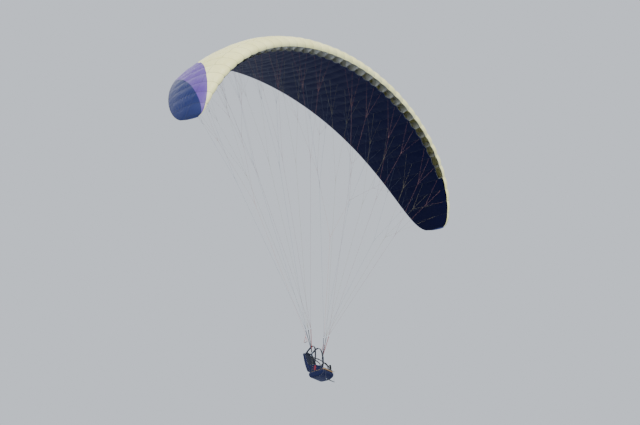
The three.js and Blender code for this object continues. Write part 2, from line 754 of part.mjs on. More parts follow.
function addSeatPad() {
  const centre = vec(0, 0, harnessZ(-SEAT_DROP - SEAT_PAD_THICK / 2));
  addPiece('seat_pad', slab(SEAT_PLAN, centre, TO_LEFT, TO_REAR, SEAT_PAD_THICK, SEAT_SOFT), materials.pad);
}

// Two lugs at the board's front edge carry the pins that the speed bar swings on.
function addSeatBoard() {
  const centre = vec(0, 0, harnessZ((BOARD_TOP + BOARD_FOOT) / 2));
  const plate = slab(SEAT_PLAN, centre, TO_LEFT, TO_REAR, SEAT_BOARD_THICK, 0);
  const lugs = SIDES.flatMap(([side]) => {
    const x = side * (SPEED_BAR_HALF - LUG_INSET);
    const pin = vec(x, SEAT_FRONT - SPEED_PIN_FORWARD, centre.z);
    const reach = SPEED_PIN_FORWARD + LUG_AHEAD;
    const arm = vec(x, SEAT_FRONT + (LUG_LAP - reach) / 2, centre.z);
    return [
      block(LUG_THICK, reach + LUG_LAP, SEAT_BOARD_THICK, arm),
      rod(pin, pin.clone().add(vec(side * SPEED_PIN_LENGTH, 0, 0)), SPEED_PIN_RADIUS, 10),
    ];
  });
  addPiece('seat_board', joined([plate, ...lugs]), materials.board);
}

function addSeatProtector() {
  addPiece('seat_protector', slab(
    PROTECTOR_SIDE,
    vec(0, 0, harnessZ(0)),
    TO_REAR,
    TO_TOP,
    2 * SHELL_HALF_WIDTH,
    PROTECTOR_SOFT,
  ), materials.harness);
}

function addSidePanel(side, sideName) {
  const centre = vec(side * (SEAT_HALF_WIDTH + SEAM_GAP + SIDE_THICK / 2), 0, harnessZ(0));
  const panel = slab(SIDE_PANEL_SIDE, centre, TO_REAR, TO_TOP, SIDE_THICK, 0);
  addPiece(`side_panel_${sideName}`, panel, materials.harness);
}

function addBackPad() {
  const centre = backPoint(0, 0, BACK_THICK / 2);
  addPiece('back_pad', slab(BACK_PLAN, centre, TO_LEFT, backUp, BACK_THICK, BACK_SOFT), materials.pad);
}

function addBackPack() {
  addPiece('back_pack', slab(
    PACK_SIDE,
    backPoint(0, 0, 0),
    backOut,
    backUp,
    2 * PACK_HALF_WIDTH,
    PACK_SOFT,
  ), materials.harness);
}

// The two legs of a main strap: how far back and how far down its bend is, and how far back its end.
const MAIN_STRAP_LEGS = [
  [SEAT_FRONT + 110, 330, SEAT_FRONT + 90],
  [SEAT_BACK - 35, 310, SEAT_BACK - 10],
];

function addMainStrap(side, sideName) {
  const bottom = carabinerCentre(side).add(vec(0, 0, -CARABINER_BEND - CARABINER_STRAIGHT / 2));
  const bar = bottom.clone().add(vec(0, 0, CARABINER_WIRE + SEAM_GAP + LOOP_RADIUS));
  const ends = [-LOOP_HALF, LOOP_HALF].map((x) => bar.clone().add(vec(x, 0, 0)));
  const foot = bar.clone().add(vec(0, 0, -LOOP_RISE));
  const wall = side * (SEAT_HALF_WIDTH + 3 * SEAM_GAP + SIDE_THICK + STRAP_THICK / 2);
  const legs = MAIN_STRAP_LEGS.map(([bendBack, bendDrop, endBack]) => strap(
    [foot, vec(wall, bendBack, harnessZ(-bendDrop)), vec(wall, endBack, harnessZ(-STRAP_END_DROP))],
    STRAP_WIDTH,
    STRAP_THICK,
    TO_REAR,
  ));
  addPiece(`main_strap_${sideName}`, joined([
    rod(ends[0], ends[1], LOOP_RADIUS, 8),
    ...ends.map((end) => knot(end, LOOP_RADIUS)),
    ...ends.map((end) => rod(end, end.clone().add(vec(0, 0, -LOOP_RISE * LOOP_SHOULDER)), LOOP_RADIUS)),
    block(2 * (LOOP_HALF + LOOP_RADIUS), STRAP_WIDTH, SLEEVE_HEIGHT, foot),
    ...legs,
  ]), materials.webbing);
}

// Over the shoulder and down the chest: how far out from the middle, how far back, how high above
// the hanging points.
const SHOULDER_ROUTE = [
  [92, 118, 185],
  [100, 53, 200],
  [112, -7, 160],
  [126, -42, 70],
  [140, -57, -60],
  [149, -59, -180],
  [149, -37, -280],
];
// Where the strap lies on the back pad, at the top and at the hip: how far out from the middle, how
// far up the pad, how far clear of it.
const SHOULDER_TOP = [[85, 510, 0], [88, 590, 3]];
const SHOULDER_HIP = [[146, 95, 12], [140, 45, 0]];

function addShoulderStrap(side, sideName) {
  const onPad = ([out, up, clear]) => backPoint(side * out, up, -SHOULDER_THICK / 2 - SEAM_GAP - clear);
  const route = SHOULDER_ROUTE.map(([out, back, up]) => vec(side * out, back, harnessZ(up)));
  const path = [...SHOULDER_TOP.map(onPad), ...smooth(route, 3), ...SHOULDER_HIP.map(onPad)];
  addPiece(`shoulder_strap_${sideName}`, strap(path, SHOULDER_WIDTH, SHOULDER_THICK, TO_LEFT), materials.pad);
}

function addChestStrap() {
  const z = harnessZ(-CHEST_DROP);
  const reach = HANG_HALF - LOOP_HALF - LOOP_RADIUS - SEAM_GAP;
  const middle = vec(0, -CHEST_AHEAD, z);
  const path = [vec(-reach, -CHEST_END_AHEAD, z), middle, vec(reach, -CHEST_END_AHEAD, z)];
  addPiece('chest_strap', joined([
    strap(path, STRAP_WIDTH, STRAP_THICK, TO_TOP),
    block(BUCKLE_WIDTH, BUCKLE_THICK, BUCKLE_HEIGHT, middle),
  ]), materials.webbing);
}

// From the seat's front edge up between the legs, over the thigh and down to the side panel: how
// far out from the middle, how far behind the seat's front, how far above the seat, and how much of
// the strap's width lies outwards and how much backwards.
const LEG_ROUTE = [
  [28, -3.5, -21, 1, 0],
  [29, -3.5, 0, 1, 0],
  [31, -3, 24, 1, 0.1],
  [42, 14, 75, 1, 0.6],
  [68, 34, 114, 0.4, 1],
  [105, 48, 130, 0, 1],
  [145, 62, 110, 0, 1],
  [SEAT_HALF_WIDTH - 4, 80, 52, 0, 1],
];

function addLegStrap(side, sideName) {
  const path = LEG_ROUTE.map(([out, back, up]) => (
    vec(side * out, SEAT_FRONT + back, harnessZ(up - SEAT_DROP))
  ));
  const across = LEG_ROUTE.map(([,,, outwards, backwards]) => vec(side * outwards, backwards, 0));
  addPiece(`leg_strap_${sideName}`, strap(
    smooth(path, 4),
    LEG_STRAP_WIDTH,
    LEG_STRAP_THICK,
    smooth(across, 4),
  ), materials.webbing);
}

function addSpeedBar() {
  const pinZ = harnessZ((BOARD_TOP + BOARD_FOOT) / 2);
  const pinY = SEAT_FRONT - SPEED_PIN_FORWARD;
  const barZ = pinZ - SPEED_BAR_DROP;
  const cords = SIDES.flatMap(([side]) => {
    const top = vec(side * (SPEED_BAR_HALF - SPEED_CORD_INSET), pinY, pinZ);
    return [
      wireRing(circlePath(top, TO_REAR, TO_TOP, SPEED_RING_RADIUS, 8), TO_LEFT, SPEED_CORD_RADIUS),
      rod(top.clone().add(vec(0, 0, -SPEED_RING_RADIUS)), vec(top.x, pinY, barZ), SPEED_CORD_RADIUS),
    ];
  });
  const bar = rod(vec(-SPEED_BAR_HALF, pinY, barZ), vec(SPEED_BAR_HALF, pinY, barZ), SPEED_BAR_RADIUS, 10);
  addPiece('speed_bar', joined([bar, ...cords]), materials.alloy);
}

function addRescueHandle() {
  const out = -(SEAT_HALF_WIDTH + 2 * SEAM_GAP + SIDE_THICK + HANDLE_WIRE);
  const centre = vec(out, HANDLE_BACK, harnessZ(-HANDLE_DROP));
  const path = linkPath(centre, TO_REAR, TO_TOP, HANDLE_BEND, HANDLE_STRAIGHT);
  addPiece('rescue_handle', wireRing(path, TO_LEFT, HANDLE_WIRE), materials.handle);
}

addWing();
for (const [side, sideName] of SIDES) {
  for (const row of ROWS) addLineRow(side, sideName, row);
  addBrakeLines(side, sideName);
  addLinks(side, sideName);
  addRiser(side, sideName);
  addToggle(side, sideName);
  addCarabiner(side, sideName);
  addMainStrap(side, sideName);
  addShoulderStrap(side, sideName);
  addLegStrap(side, sideName);
  addSidePanel(side, sideName);
}
addSeatPad();
addSeatBoard();
addSeatProtector();
addBackPad();
addBackPack();
addChestStrap();
addSpeedBar();
addRescueHandle();

export default paraglider;
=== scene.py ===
from math import cos, pi, radians, sin, sqrt

import bpy
import numpy as np
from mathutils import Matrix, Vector
from mathutils.bvhtree import BVHTree
from mathutils.geometry import tessellate_polygon


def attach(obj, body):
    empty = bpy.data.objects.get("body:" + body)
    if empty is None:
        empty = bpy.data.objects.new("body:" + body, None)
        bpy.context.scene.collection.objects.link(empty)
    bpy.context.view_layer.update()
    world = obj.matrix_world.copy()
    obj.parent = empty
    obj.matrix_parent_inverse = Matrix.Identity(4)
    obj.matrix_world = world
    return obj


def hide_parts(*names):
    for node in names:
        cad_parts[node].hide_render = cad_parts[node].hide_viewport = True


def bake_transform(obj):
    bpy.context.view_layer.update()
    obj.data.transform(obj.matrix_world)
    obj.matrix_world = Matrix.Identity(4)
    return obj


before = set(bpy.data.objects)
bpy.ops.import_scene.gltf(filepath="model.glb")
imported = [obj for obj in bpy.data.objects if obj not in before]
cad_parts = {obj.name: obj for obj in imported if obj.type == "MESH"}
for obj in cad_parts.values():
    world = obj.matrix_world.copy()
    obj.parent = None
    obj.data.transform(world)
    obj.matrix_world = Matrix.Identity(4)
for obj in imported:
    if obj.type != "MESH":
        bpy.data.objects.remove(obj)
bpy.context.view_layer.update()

# Camera
# It stands on the ground, far below and ahead of the glider, and looks up at its right-hand tip
# through a very long lens.
camera_azimuth, camera_elevation, camera_distance = radians(-51), radians(-21), 157.0
camera_aim = Vector((0.35, 0.2, -3.62))
camera_back = Vector((
    sin(camera_azimuth) * cos(camera_elevation),
    -cos(camera_azimuth) * cos(camera_elevation),
    sin(camera_elevation),
))
camera_data = bpy.data.cameras.new("camera")
camera_data.lens = 372
camera_data.sensor_width = 36
camera_data.clip_start, camera_data.clip_end = 1.0, 1500.0
camera = bpy.data.objects.new("camera", camera_data)
bpy.context.scene.collection.objects.link(camera)
bpy.context.scene.camera = camera
camera.location = camera_aim + camera_back * camera_distance
camera.rotation_euler = (-camera_back).to_track_quat("-Z", "Y").to_euler()


# Floor and light
# A plain pale floor at the camera's feet, a pale surround, one soft light from above and ahead,
# and weak ones from behind and from below.
def tone(code):
    """A colour written as six hexadecimal digits, as the shader's linear red, green, blue, alpha."""
    parts = [int(code[i:i + 2], 16) / 255 for i in (0, 2, 4)]
    return tuple(p / 12.92 if p <= 0.04045 else ((p + 0.055) / 1.055) ** 2.4 for p in parts) + (1.0,)


def add_mesh(name, points, faces, material, across=None, corners=None):
    """A smooth-shaded mesh.

    The place on the cloth, in metres, is given for each point (across) or each face's corner (corners).
    """
    mesh = bpy.data.meshes.new(name)
    mesh.from_pydata(np.asarray(points, float).tolist(), [], [list(map(int, f)) for f in faces])
    mesh.shade_smooth()
    if across is not None:
        at = np.empty(len(mesh.loops), np.int32)
        mesh.loops.foreach_get("vertex_index", at)
        corners = np.asarray(across)[at]
    if corners is not None:
        layer = mesh.uv_layers.new(name="cloth")
        layer.data.foreach_set("uv", np.asarray(corners, np.float32).ravel())
    made = bpy.data.objects.new(name, mesh)
    bpy.context.scene.collection.objects.link(made)
    mesh.materials.append(material)
    return made


square = ((-1, -1), (1, -1), (1, 1), (-1, 1))
floor_reach, floor_drop = 1400.0, 0.4
floor_material = bpy.data.materials.new("pale_floor")
floor_material.use_nodes = True
floor_shader = floor_material.node_tree.nodes["Principled BSDF"]
floor_shader.inputs["Base Color"].default_value = tone("c2cad6")
floor_shader.inputs["Roughness"].default_value = 0.9
floor_height = camera.location.z - floor_drop
floor_corners = [(x * floor_reach, y * floor_reach, floor_height) for x, y in square]
floor = add_mesh("floor", floor_corners, [(0, 1, 2, 3)], floor_material)

surround = bpy.data.worlds.new("surround")
bpy.context.scene.world = surround
surround.use_nodes = True
surround_sky = surround.node_tree.nodes["Background"]
surround_sky.inputs["Color"].default_value = tone("dde4ee")
surround_sky.inputs["Strength"].default_value = 1.0

for light_name, light_power, light_spread, light_from in (
    ("key_light", 4.3, 12, (-0.55, -0.55, 0.85)),
    ("back_light", 0.6, 50, (0.5, 0.8, 0.45)),
    ("low_light", 0.2, 60, (-0.5, -0.7, -0.3)),
):
    light_data = bpy.data.lights.new(light_name, "SUN")
    light_data.energy = light_power
    light_data.angle = radians(light_spread)
    light = bpy.data.objects.new(light_name, light_data)
    bpy.context.scene.collection.objects.link(light)
    light.rotation_euler = Vector(light_from).to_track_quat("Z", "Y").to_euler()


# Wing shape
# The canopy is a ram-air wing: 40 cells side by side on an arc, each blown up between its ribs.
# Its arc, chords and section are the ones that the cloth was cut to.
flat_span, root_chord, tip_chord = 11.7, 2.55, 0.40
cells_a_side = 20
cell_width = flat_span / 2 / cells_a_side
hang_chord_share, sweep_share, taper_power = 0.33, 0.3, 1.9
tilt_even, tilt_tip = radians(46), radians(34)
thickness, camber, camber_at = 0.18, 0.03, 0.3
edge_half = 0.0022
bulge_share, least_fullness, flat_rear = 0.085, 0.25, 6

# The arc: how far across and down each share of the half span lies.
arc_steps, outline_steps = 4000, 8000
arc_share = np.linspace(0, 1, arc_steps + 1)
arc_tilt = tilt_even * arc_share + tilt_tip * arc_share ** 3
middle_tilt = (arc_tilt[1:] + arc_tilt[:-1]) / 2
arc_x = np.concatenate([[0], np.cumsum(np.cos(middle_tilt))]) * flat_span / 2 / arc_steps
arc_z = -np.concatenate([[0], np.cumsum(np.sin(middle_tilt))]) * flat_span / 2 / arc_steps

# The section: a four-digit wing profile, run through from the lower trailing edge round the nose to
# the upper one, in shares of the chord.
outline_s = np.linspace(-1, 1, outline_steps + 1)
outline_back = outline_s ** 2
outline_half = 5 * thickness * (
    0.2969 * np.sqrt(outline_back) - 0.126 * outline_back - 0.3516 * outline_back ** 2
    + 0.2843 * outline_back ** 3 - 0.1036 * outline_back ** 4
)
camber_run = 2 * camber_at * outline_back - outline_back ** 2
outline_camber = np.where(
    outline_back < camber_at,
    camber / camber_at ** 2 * camber_run,
    camber / (1 - camber_at) ** 2 * (1 - 2 * camber_at + camber_run),
)
outline_height = outline_camber + np.sign(outline_s) * outline_half
outline_run = np.concatenate([[0], np.cumsum(np.hypot(np.diff(outline_back), np.diff(outline_height)))])
outline_run -= np.interp(0, outline_s, outline_run)
slope_back, slope_height = np.gradient(outline_back), np.gradient(outline_height)
slope_size = np.hypot(slope_back, slope_height)
outline_out = np.stack([-slope_height / slope_size, slope_back / slope_size])


def chord_at(station):
    """The section's length at a span station from -1, the right tip, to 1, the left one."""
    taper = np.sqrt(np.clip(1 - np.abs(station) ** taper_power, 0, 1))
    return tip_chord + (root_chord - tip_chord) * taper


def run_at(back, side):
    """How far round the section from its nose a share of the chord lies; the lower side is negative."""
    return np.interp(side * np.sqrt(back), outline_s, outline_run)


def on_wing(station, back, height):
    """A point at a span station, back from the nose and out from the chord line, in metres."""
    share = np.abs(station)
    tilt = tilt_even * share + tilt_tip * share ** 3
    nose = -hang_chord_share * root_chord + sweep_share * (root_chord - chord_at(station))
    return np.stack(np.broadcast_arrays(
        np.sign(station) * (np.interp(share, arc_share, arc_x) + np.sin(tilt) * height),
        nose + back,
        np.interp(share, arc_share, arc_z) + np.cos(tilt) * height,
    ), axis=-1)


def on_skin(station, run, lift):
    """A point on the section's outline at a station, lifted off the ribs' line by lift."""
    chord = chord_at(station)
    back = np.interp(run, outline_run, outline_back)
    height = np.interp(run, outline_run, outline_height) * chord + np.sign(run) * edge_half * back
    out_back, out_height = (np.interp(run, outline_run, part) for part in outline_out)
    return on_wing(station, back * chord + out_back * lift, height + out_height * lift)


def cell_fill(station):
    """0 at the ribs and 1 in the middle of a cell."""
    part = np.abs(station) * cells_a_side % 1
    return 4 * part * (1 - part)


# Every rib seam gathers the cloth a little, each in its own way.
seam_random = np.random.default_rng(11)
rib_count = 2 * cells_a_side + 1
pucker_length = seam_random.uniform(0.075, 0.13, rib_count)
pucker_phase = seam_random.uniform(0, 2 * pi, (4, rib_count))
pucker_height, pucker_reach, patch_length, patch_swing = 0.0066, 0.036, 0.9, 0.4
upper_slant, lower_slant = 0.8, -0.6
slack_height, slack_lengths = 0.0028, (0.62, 0.37)
taut_lip, taut_rear, taut_chord, least_slack = 0.16, 12, 1.2, 0.35
tab_rows = {"a": 0.09, "b": 0.36, "c": 0.66}
brake_row = 0.97
tab_ribs = range(1, 19)
brake_ribs = [2, 3, 4, 6, 7, 8, 10, 11, 12, 14, 15, 16]
tab_pull, tab_pull_reach, tab_pull_width = 0.009, 0.075, 0.05


def skin_lift(station, run):
    """How far the blown, puckered cloth stands off the section's outline."""
    chord = chord_at(station)
    back = np.interp(run, outline_run, outline_back)
    along = np.abs(run) * chord
    seam = np.rint(station * cells_a_side)
    rib = seam.astype(int) + cells_a_side
    off = np.abs(station * cells_a_side - seam) * cell_width

    fullness = np.minimum(1, chord / root_chord + least_fullness)
    blown = bulge_share * cell_width * cell_fill(station) * (1 - back ** flat_rear) * fullness

    swing = off * np.where(run > 0, upper_slant, lower_slant) * np.where(rib % 2 == 0, 1, -1)
    wave = np.sin(2 * pi * (along + swing) / pucker_length[rib] + pucker_phase[0][rib])
    patchy = 1 - patch_swing + patch_swing * np.sin(2 * pi * along / patch_length + pucker_phase[1][rib])
    near = off / pucker_reach * np.exp(1 - off / pucker_reach) * (1 - (2 * off / cell_width) ** 2) ** 2
    slack = sum(np.sin(2 * pi * along / length + phase[rib])
                for length, phase in zip(slack_lengths, pucker_phase[2:]))
    loose = np.clip(along / taut_lip, 0, 1) * np.clip(chord / taut_chord, least_slack, 1)
    loose = loose * (1 - back ** taut_rear)
    lift = blown + pucker_height * near * wave * patchy * loose
    lift = lift + slack_height * slack * cell_fill(station) ** 2 * loose

    pulled = np.zeros_like(lift)
    for share in tab_rows.values():
        at = -run_at(share, -1) * chord
        near_tab = np.exp(-((along - at) / tab_pull_reach) ** 2 - (off / tab_pull_width) ** 2)
        pulled = np.maximum(pulled, near_tab)
    served = np.isin(np.abs(seam), list(tab_ribs)) & (run < 0)
    return lift + tab_pull * pulled * served


# Ripstop cloth
# Nylon cloth of about 40 grams a square metre with a fine raised grid, coated to hold air. The
# panels are sewn at the ribs with rolled seams and two rows of thread.
class Graph:
    """Adds nodes to a shader; an input is a number, a colour or another node's output."""

    def __init__(self, tree):
        self.tree = tree

    def add(self, kind, inputs=(), **settings):
        node = self.tree.nodes.new(kind)
        for key, value in settings.items():
            setattr(node, key, value)
        for key, value in dict(inputs).items():
            if isinstance(value, bpy.types.NodeSocket):
                self.tree.links.new(value, node.inputs[key])
            else:
                node.inputs[key].default_value = value
        return node.outputs

    def math(self, operation, *values):
        return self.add("ShaderNodeMath", enumerate(values), operation=operation)[0]

    def together(self, operation, values):
        total = values[0]
        for value in values[1:]:
            total = self.math(operation, total, value)
        return total

    def times(self, *values):
        return self.together("MULTIPLY", values)

    def plus(self, *values):
        return self.together("ADD", values)

    def less(self, first, second):
        return self.math("SUBTRACT", first, second)

    def apart(self, first, second):
        """How far two values lie from each other."""
        return self.math("ABSOLUTE", self.less(first, second))

    def mix(self, share, first, second):
        return self.add("ShaderNodeMix", {0: share, 6: first, 7: second}, data_type="RGBA")[2]

    def step(self, value, low, high):
        """0 at low and 1 at high, smooth between them."""
        return self.add("ShaderNodeMapRange", {0: value, 1: low, 2: high, 3: 0.0, 4: 1.0},
                        interpolation_type="SMOOTHSTEP")[0]

    def split(self, at):
        """A place's three parts."""
        return self.add("ShaderNodeSeparateXYZ", {0: at})

    def stretch(self, at, scales):
        return self.add("ShaderNodeMapping", {0: at, 3: scales})[0]

    def noise(self, at, scale, detail):
        return self.add("ShaderNodeTexNoise", {"Vector": at, "Scale": scale, "Detail": detail})[0]

    def washed(self, colour, saturation, value):
        changes = {"Saturation": saturation, "Value": value, "Color": colour}
        return self.add("ShaderNodeHueSaturation", changes)[0]

    def gap(self, value, pitch):
        """How far a value is from the nearest whole number of pitches."""
        turn = self.math("FRACT", self.plus(self.math("DIVIDE", value, pitch), 0.5))
        return self.times(self.apart(turn, 0.5), pitch)

    def crossing(self, first, second, pitch, low, high):
        """Two rows of threads a pitch apart that cross: 0 between threads and 1 on them."""
        off = self.math("MINIMUM", self.gap(first, pitch), self.gap(second, pitch))
        return self.step(self.math("DIVIDE", off, pitch), low, high)


def new_group(name, colours, numbers=()):
    """A shader node group that takes a place, colours and numbers; its graph and its inputs."""
    tree = bpy.data.node_groups.new(name, "ShaderNodeTree")
    kinds = {"Place": "Vector", **dict.fromkeys(colours, "Color"), **dict.fromkeys(numbers, "Float")}
    for label, kind in kinds.items():
        tree.interface.new_socket(label, in_out="INPUT", socket_type="NodeSocket" + kind)
    entry = tree.nodes.new("NodeGroupInput").outputs
    return Graph(tree), {label: entry[label] for label in kinds}


def finish_group(graph, *values):
    """Gives out a group's colour and, where it draws a whole surface, its roughness and height."""
    kinds = {"Colour": "Color", "Roughness": "Float", "Height": "Float"}
    given = dict(zip(kinds, values))
    for label in given:
        graph.tree.interface.new_socket(label, in_out="OUTPUT", socket_type="NodeSocket" + kinds[label])
    out = graph.tree.nodes.new("NodeGroupOutput")
    for label, value in given.items():
        graph.tree.links.new(value, out.inputs[label])


ripstop, cloth_in = new_group("ripstop_cloth", ["Colour"], ["Seam pitch", "Join at", "Matt"])
# The raised grid of thicker threads.
place = ripstop.split(cloth_in["Place"])
grid_pitch, grid_width, grid_height = 0.007, 0.0011, 0.00022
grid_off = ripstop.math("MINIMUM", ripstop.gap(place[0], grid_pitch), ripstop.gap(place[1], grid_pitch))
grid = ripstop.step(grid_off, grid_width, 0.0002)
# The rolled seams with their two rows of thread, and the puckers that they gather.
seam_half, thread_off, stitch_pitch, seam_height = 0.011, 0.0055, 0.0045, 0.0012
pucker_off, pucker_bump, pucker_scales = 0.062, 0.008, (5.0, 24.0, 5.0)
join_off = ripstop.apart(place[1], cloth_in["Join at"])
seam_off = ripstop.math("MINIMUM", ripstop.gap(place[0], cloth_in["Seam pitch"]), join_off)
seam_fold = ripstop.step(seam_off, seam_half, 0.008)
stitch_row = ripstop.step(ripstop.apart(seam_off, thread_off), 0.0013, 0.0006)
stitch_dash = ripstop.step(ripstop.gap(ripstop.plus(place[1], place[0]), stitch_pitch), 0.0011, 0.0017)
stitch = ripstop.times(stitch_row, stitch_dash)
puckers = ripstop.noise(ripstop.stretch(cloth_in["Place"], pucker_scales), 1.0, 2.0)
puckers = ripstop.times(puckers, ripstop.step(seam_off, pucker_off, 0.006))
# The sun has bleached the cloth unevenly, and packing has crumpled it.
fading = ripstop.noise(cloth_in["Place"], 1.3, 4.0)
crumple = ripstop.noise(cloth_in["Place"], 26.0, 5.0)
bleached = ripstop.washed(cloth_in["Colour"], 0.88, 1.12)
faded = ripstop.mix(ripstop.step(fading, 0.35, 0.75), cloth_in["Colour"], bleached)
gridded = ripstop.mix(grid, faded, ripstop.washed(faded, 1.0, 1.12))
# The seam bands are darkened towards near-black: painted shade along the seams' creases.
sewn = ripstop.mix(ripstop.times(seam_fold, 0.3), gridded, (0.01, 0.01, 0.02, 1.0))
sewn = ripstop.mix(ripstop.times(stitch, 0.12), sewn, (0.5, 0.5, 0.48, 1.0))
worn = ripstop.plus(cloth_in["Matt"], ripstop.times(ripstop.less(fading, 0.5), 0.16))
bumps = ripstop.plus(ripstop.times(grid, grid_height), ripstop.times(crumple, 0.0011),
                     ripstop.times(puckers, pucker_bump), ripstop.times(seam_fold, seam_height),
                     ripstop.times(stitch, -0.0006))
finish_group(ripstop, sewn, worn, bumps)


def new_material(name, group, values, sheen=0.0, metal=0.0, shine=0.5, uv=True, pattern=None):
    """A Principled material that a node group gives its colour, roughness and bumps.

    A pattern, where there is one, is a group and its values, and gives the first group its colour.
    """
    made = bpy.data.materials.new(name)
    made.use_nodes = True
    graph = Graph(made.node_tree)
    source = graph.add("ShaderNodeTexCoord")["UV" if uv else "Object"]
    surface = graph.add("ShaderNodeGroup", node_tree=group.tree)
    node = surface[0].node
    graph.tree.links.new(source, node.inputs["Place"])
    for key, value in values.items():
        node.inputs[key].default_value = value
    if pattern is not None:
        drawn = graph.add("ShaderNodeGroup", node_tree=pattern[0].tree)
        for key, value in pattern[1].items():
            drawn[0].node.inputs[key].default_value = value
        graph.tree.links.new(source, drawn[0].node.inputs["Place"])
        graph.tree.links.new(drawn["Colour"], node.inputs["Colour"])
    shader = made.node_tree.nodes["Principled BSDF"]
    graph.tree.links.new(surface["Colour"], shader.inputs["Base Color"])
    graph.tree.links.new(surface["Roughness"], shader.inputs["Roughness"])
    bump = graph.add("ShaderNodeBump", {"Height": surface["Height"], "Distance": 1.0, "Strength": 0.8})
    graph.tree.links.new(bump["Normal"], shader.inputs["Normal"])
    shader.inputs["Metallic"].default_value = metal
    shader.inputs["Sheen Weight"].default_value = sheen
    shader.inputs["Specular IOR Level"].default_value = shine
    return made


# The colour sweep: two curved lines run forward to the tip. Between them the cloth is lilac, and
# behind the second one it is slate.
sweep_paint, sweep_in = new_group("colour_sweep", ["Front", "Band", "Rear"])
sweep_place = sweep_paint.split(sweep_in["Place"])
sweep_length, blend_width = 1.75, 0.003
to_tip = sweep_paint.less(flat_span / 2, sweep_paint.math("ABSOLUTE", sweep_place[0]))
to_tip = sweep_paint.math("DIVIDE", sweep_paint.math("MAXIMUM", to_tip, 0.0), sweep_length)
swept = sweep_in["Front"]
for line_start, line_power, behind in ((1.0, 1.9, "Band"), (1.98, 1.4, "Rear")):
    line = sweep_paint.times(sweep_paint.math("POWER", to_tip, line_power), line_start)
    past_line = sweep_paint.step(sweep_paint.less(sweep_place[1], line), -blend_width, blend_width)
    swept = sweep_paint.mix(past_line, swept, sweep_in[behind])
finish_group(sweep_paint, swept)


def cloth_material(name, code, join, matt=0.46, sheen=0.03, shine=0.3, pattern=None):
    return new_material(name, ripstop, {
        "Colour": tone(code), "Seam pitch": cell_width, "Join at": join, "Matt": matt,
    }, sheen=sheen, shine=shine, pattern=pattern)


cream, lilac, slate = "ece59c", "5c3f8e", "101f55"
upper_cream = cloth_material("cream_ripstop", cream, 0.42)
upper_swept = cloth_material("swept_ripstop", cream, 0.42, pattern=(sweep_paint, {
    "Front": tone(cream), "Band": tone(lilac), "Rear": tone(slate)}))
upper_slate = cloth_material("slate_ripstop", slate, 0.3)
# The lower skin is real navy cloth with painted shade on it, which darkens it nearly to black.
lower_navy_painted_shade = cloth_material("navy_ripstop_painted_shade", "010224", -1.2, matt=0.62, sheen=0.0, shine=0.08)
rib_white = cloth_material("white_ripstop", "c9c8c0", 9.0, matt=0.6)


# Upper and lower skins
# Nine panels across the span, sewn rib to rib: cream above with a lilac and slate sweep at each
# tip, navy below with painted shade that darkens it nearly to black. The nose stays open between
# the two lips, where the air goes in.
steps_a_cell = 10
cloth_thick = 0.0015
upper_lip, lower_lip, closed_lip = 0.015, 0.065, 0.016
lip_bow, upper_bow_share, least_lip = 0.009, 0.4, 0.002
upper_columns, lower_columns, nose_finer = 128, 112, 0.35
# Each panel: its two end ribs, counted from the middle, its upper cloth, and whether its nose is open.
panels = [
    ("tip_right", -20, -16, upper_swept, "tip_cloth", False),
    ("accent_right", -16, -14, upper_swept, "accent_cloth", True),
    ("outer_right", -14, -10, upper_swept, "upper_cloth", True),
    ("inner_right", -10, -5, upper_cream, "upper_cloth", True),
    ("centre", -5, 5, upper_cream, "upper_cloth", True),
    ("inner_left", 5, 10, upper_cream, "upper_cloth", True),
    ("outer_left", 10, 14, upper_swept, "upper_cloth", True),
    ("accent_left", 14, 16, upper_swept, "accent_cloth", True),
    ("tip_left", 16, 20, upper_swept, "tip_cloth", False),
]


def fit(piece, body, finish, *nodes):
    """Fixes a piece to a body of the glider and hides the plain solids it stands for; finish is not used.
    """
    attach(piece, body)
    if nodes:
        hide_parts(*nodes)
    return piece


def grid_faces(rows, columns, flip=False):
    first = (np.arange(rows - 1)[:, None] * columns + np.arange(columns - 1)).ravel()
    faces = np.stack([first, first + columns, first + columns + 1, first + 1], axis=1)
    return faces[:, ::-1] if flip else faces


def add_thickness(piece, thick, offset=-1.0):
    made = piece.modifiers.new("thickness", "SOLIDIFY")
    made.thickness = thick
    made.offset = offset


def upper_edge(lip, bow):
    """Where the upper lip lies once the air has bowed it, as a share of the chord."""
    return np.maximum(lip - upper_bow_share * bow, least_lip)


def sew_panel(name, from_cell, to_cell, side, lip, columns, material):
    """A panel's cloth from one rib to another, from its lip at the nose to the trailing edge."""
    rows = (to_cell - from_cell) * steps_a_cell + 1
    station = np.linspace(from_cell, to_cell, rows)[:, None] / cells_a_side
    bow = lip_bow * cell_fill(station)
    share = np.linspace(0, 1, columns)[None, :]
    share = share - nose_finer * np.sin(2 * pi * share) / (2 * pi)
    if side > 0:
        start, end = run_at(upper_edge(lip, bow), -1), run_at(1.0, 1)
    else:
        start, end = run_at(lip + bow, -1), run_at(1.0, -1)
    run = start + (end - start) * share
    station = np.broadcast_to(station, run.shape)
    points = on_skin(station, run, skin_lift(station, run))
    across = np.stack([station * flat_span / 2, run * chord_at(station)], axis=-1).reshape(-1, 2)
    piece = add_mesh(name, points.reshape(-1, 3), grid_faces(rows, columns, side < 0), material, across)
    ends = np.empty(len(piece.data.edges) * 2, np.int32)
    piece.data.edges.foreach_get("vertices", ends)
    row, column = np.divmod(ends.reshape(-1, 2), columns)
    creased = (row[:, 0] == row[:, 1]) & (row[:, 0] % steps_a_cell == 0)
    piece.data.attributes.new("sharp_edge", "BOOLEAN", "EDGE").data.foreach_set("value", creased)
    add_thickness(piece, cloth_thick)
    return piece


for panel, from_cell, to_cell, cloth, cloth_slot, is_open in panels:
    upper = sew_panel(f"upper_cloth_{panel}", from_cell, to_cell, 1, upper_lip, upper_columns, cloth)
    fit(upper, "wing", cloth_slot, f"upper_skin_{panel}")
    lip = lower_lip if is_open else closed_lip
    lower = sew_panel(f"lower_cloth_{panel}", from_cell, to_cell, -1, lip, lower_columns, lower_navy_painted_shade)
    fit(lower, "wing", "lower_cloth", f"lower_skin_{panel}")


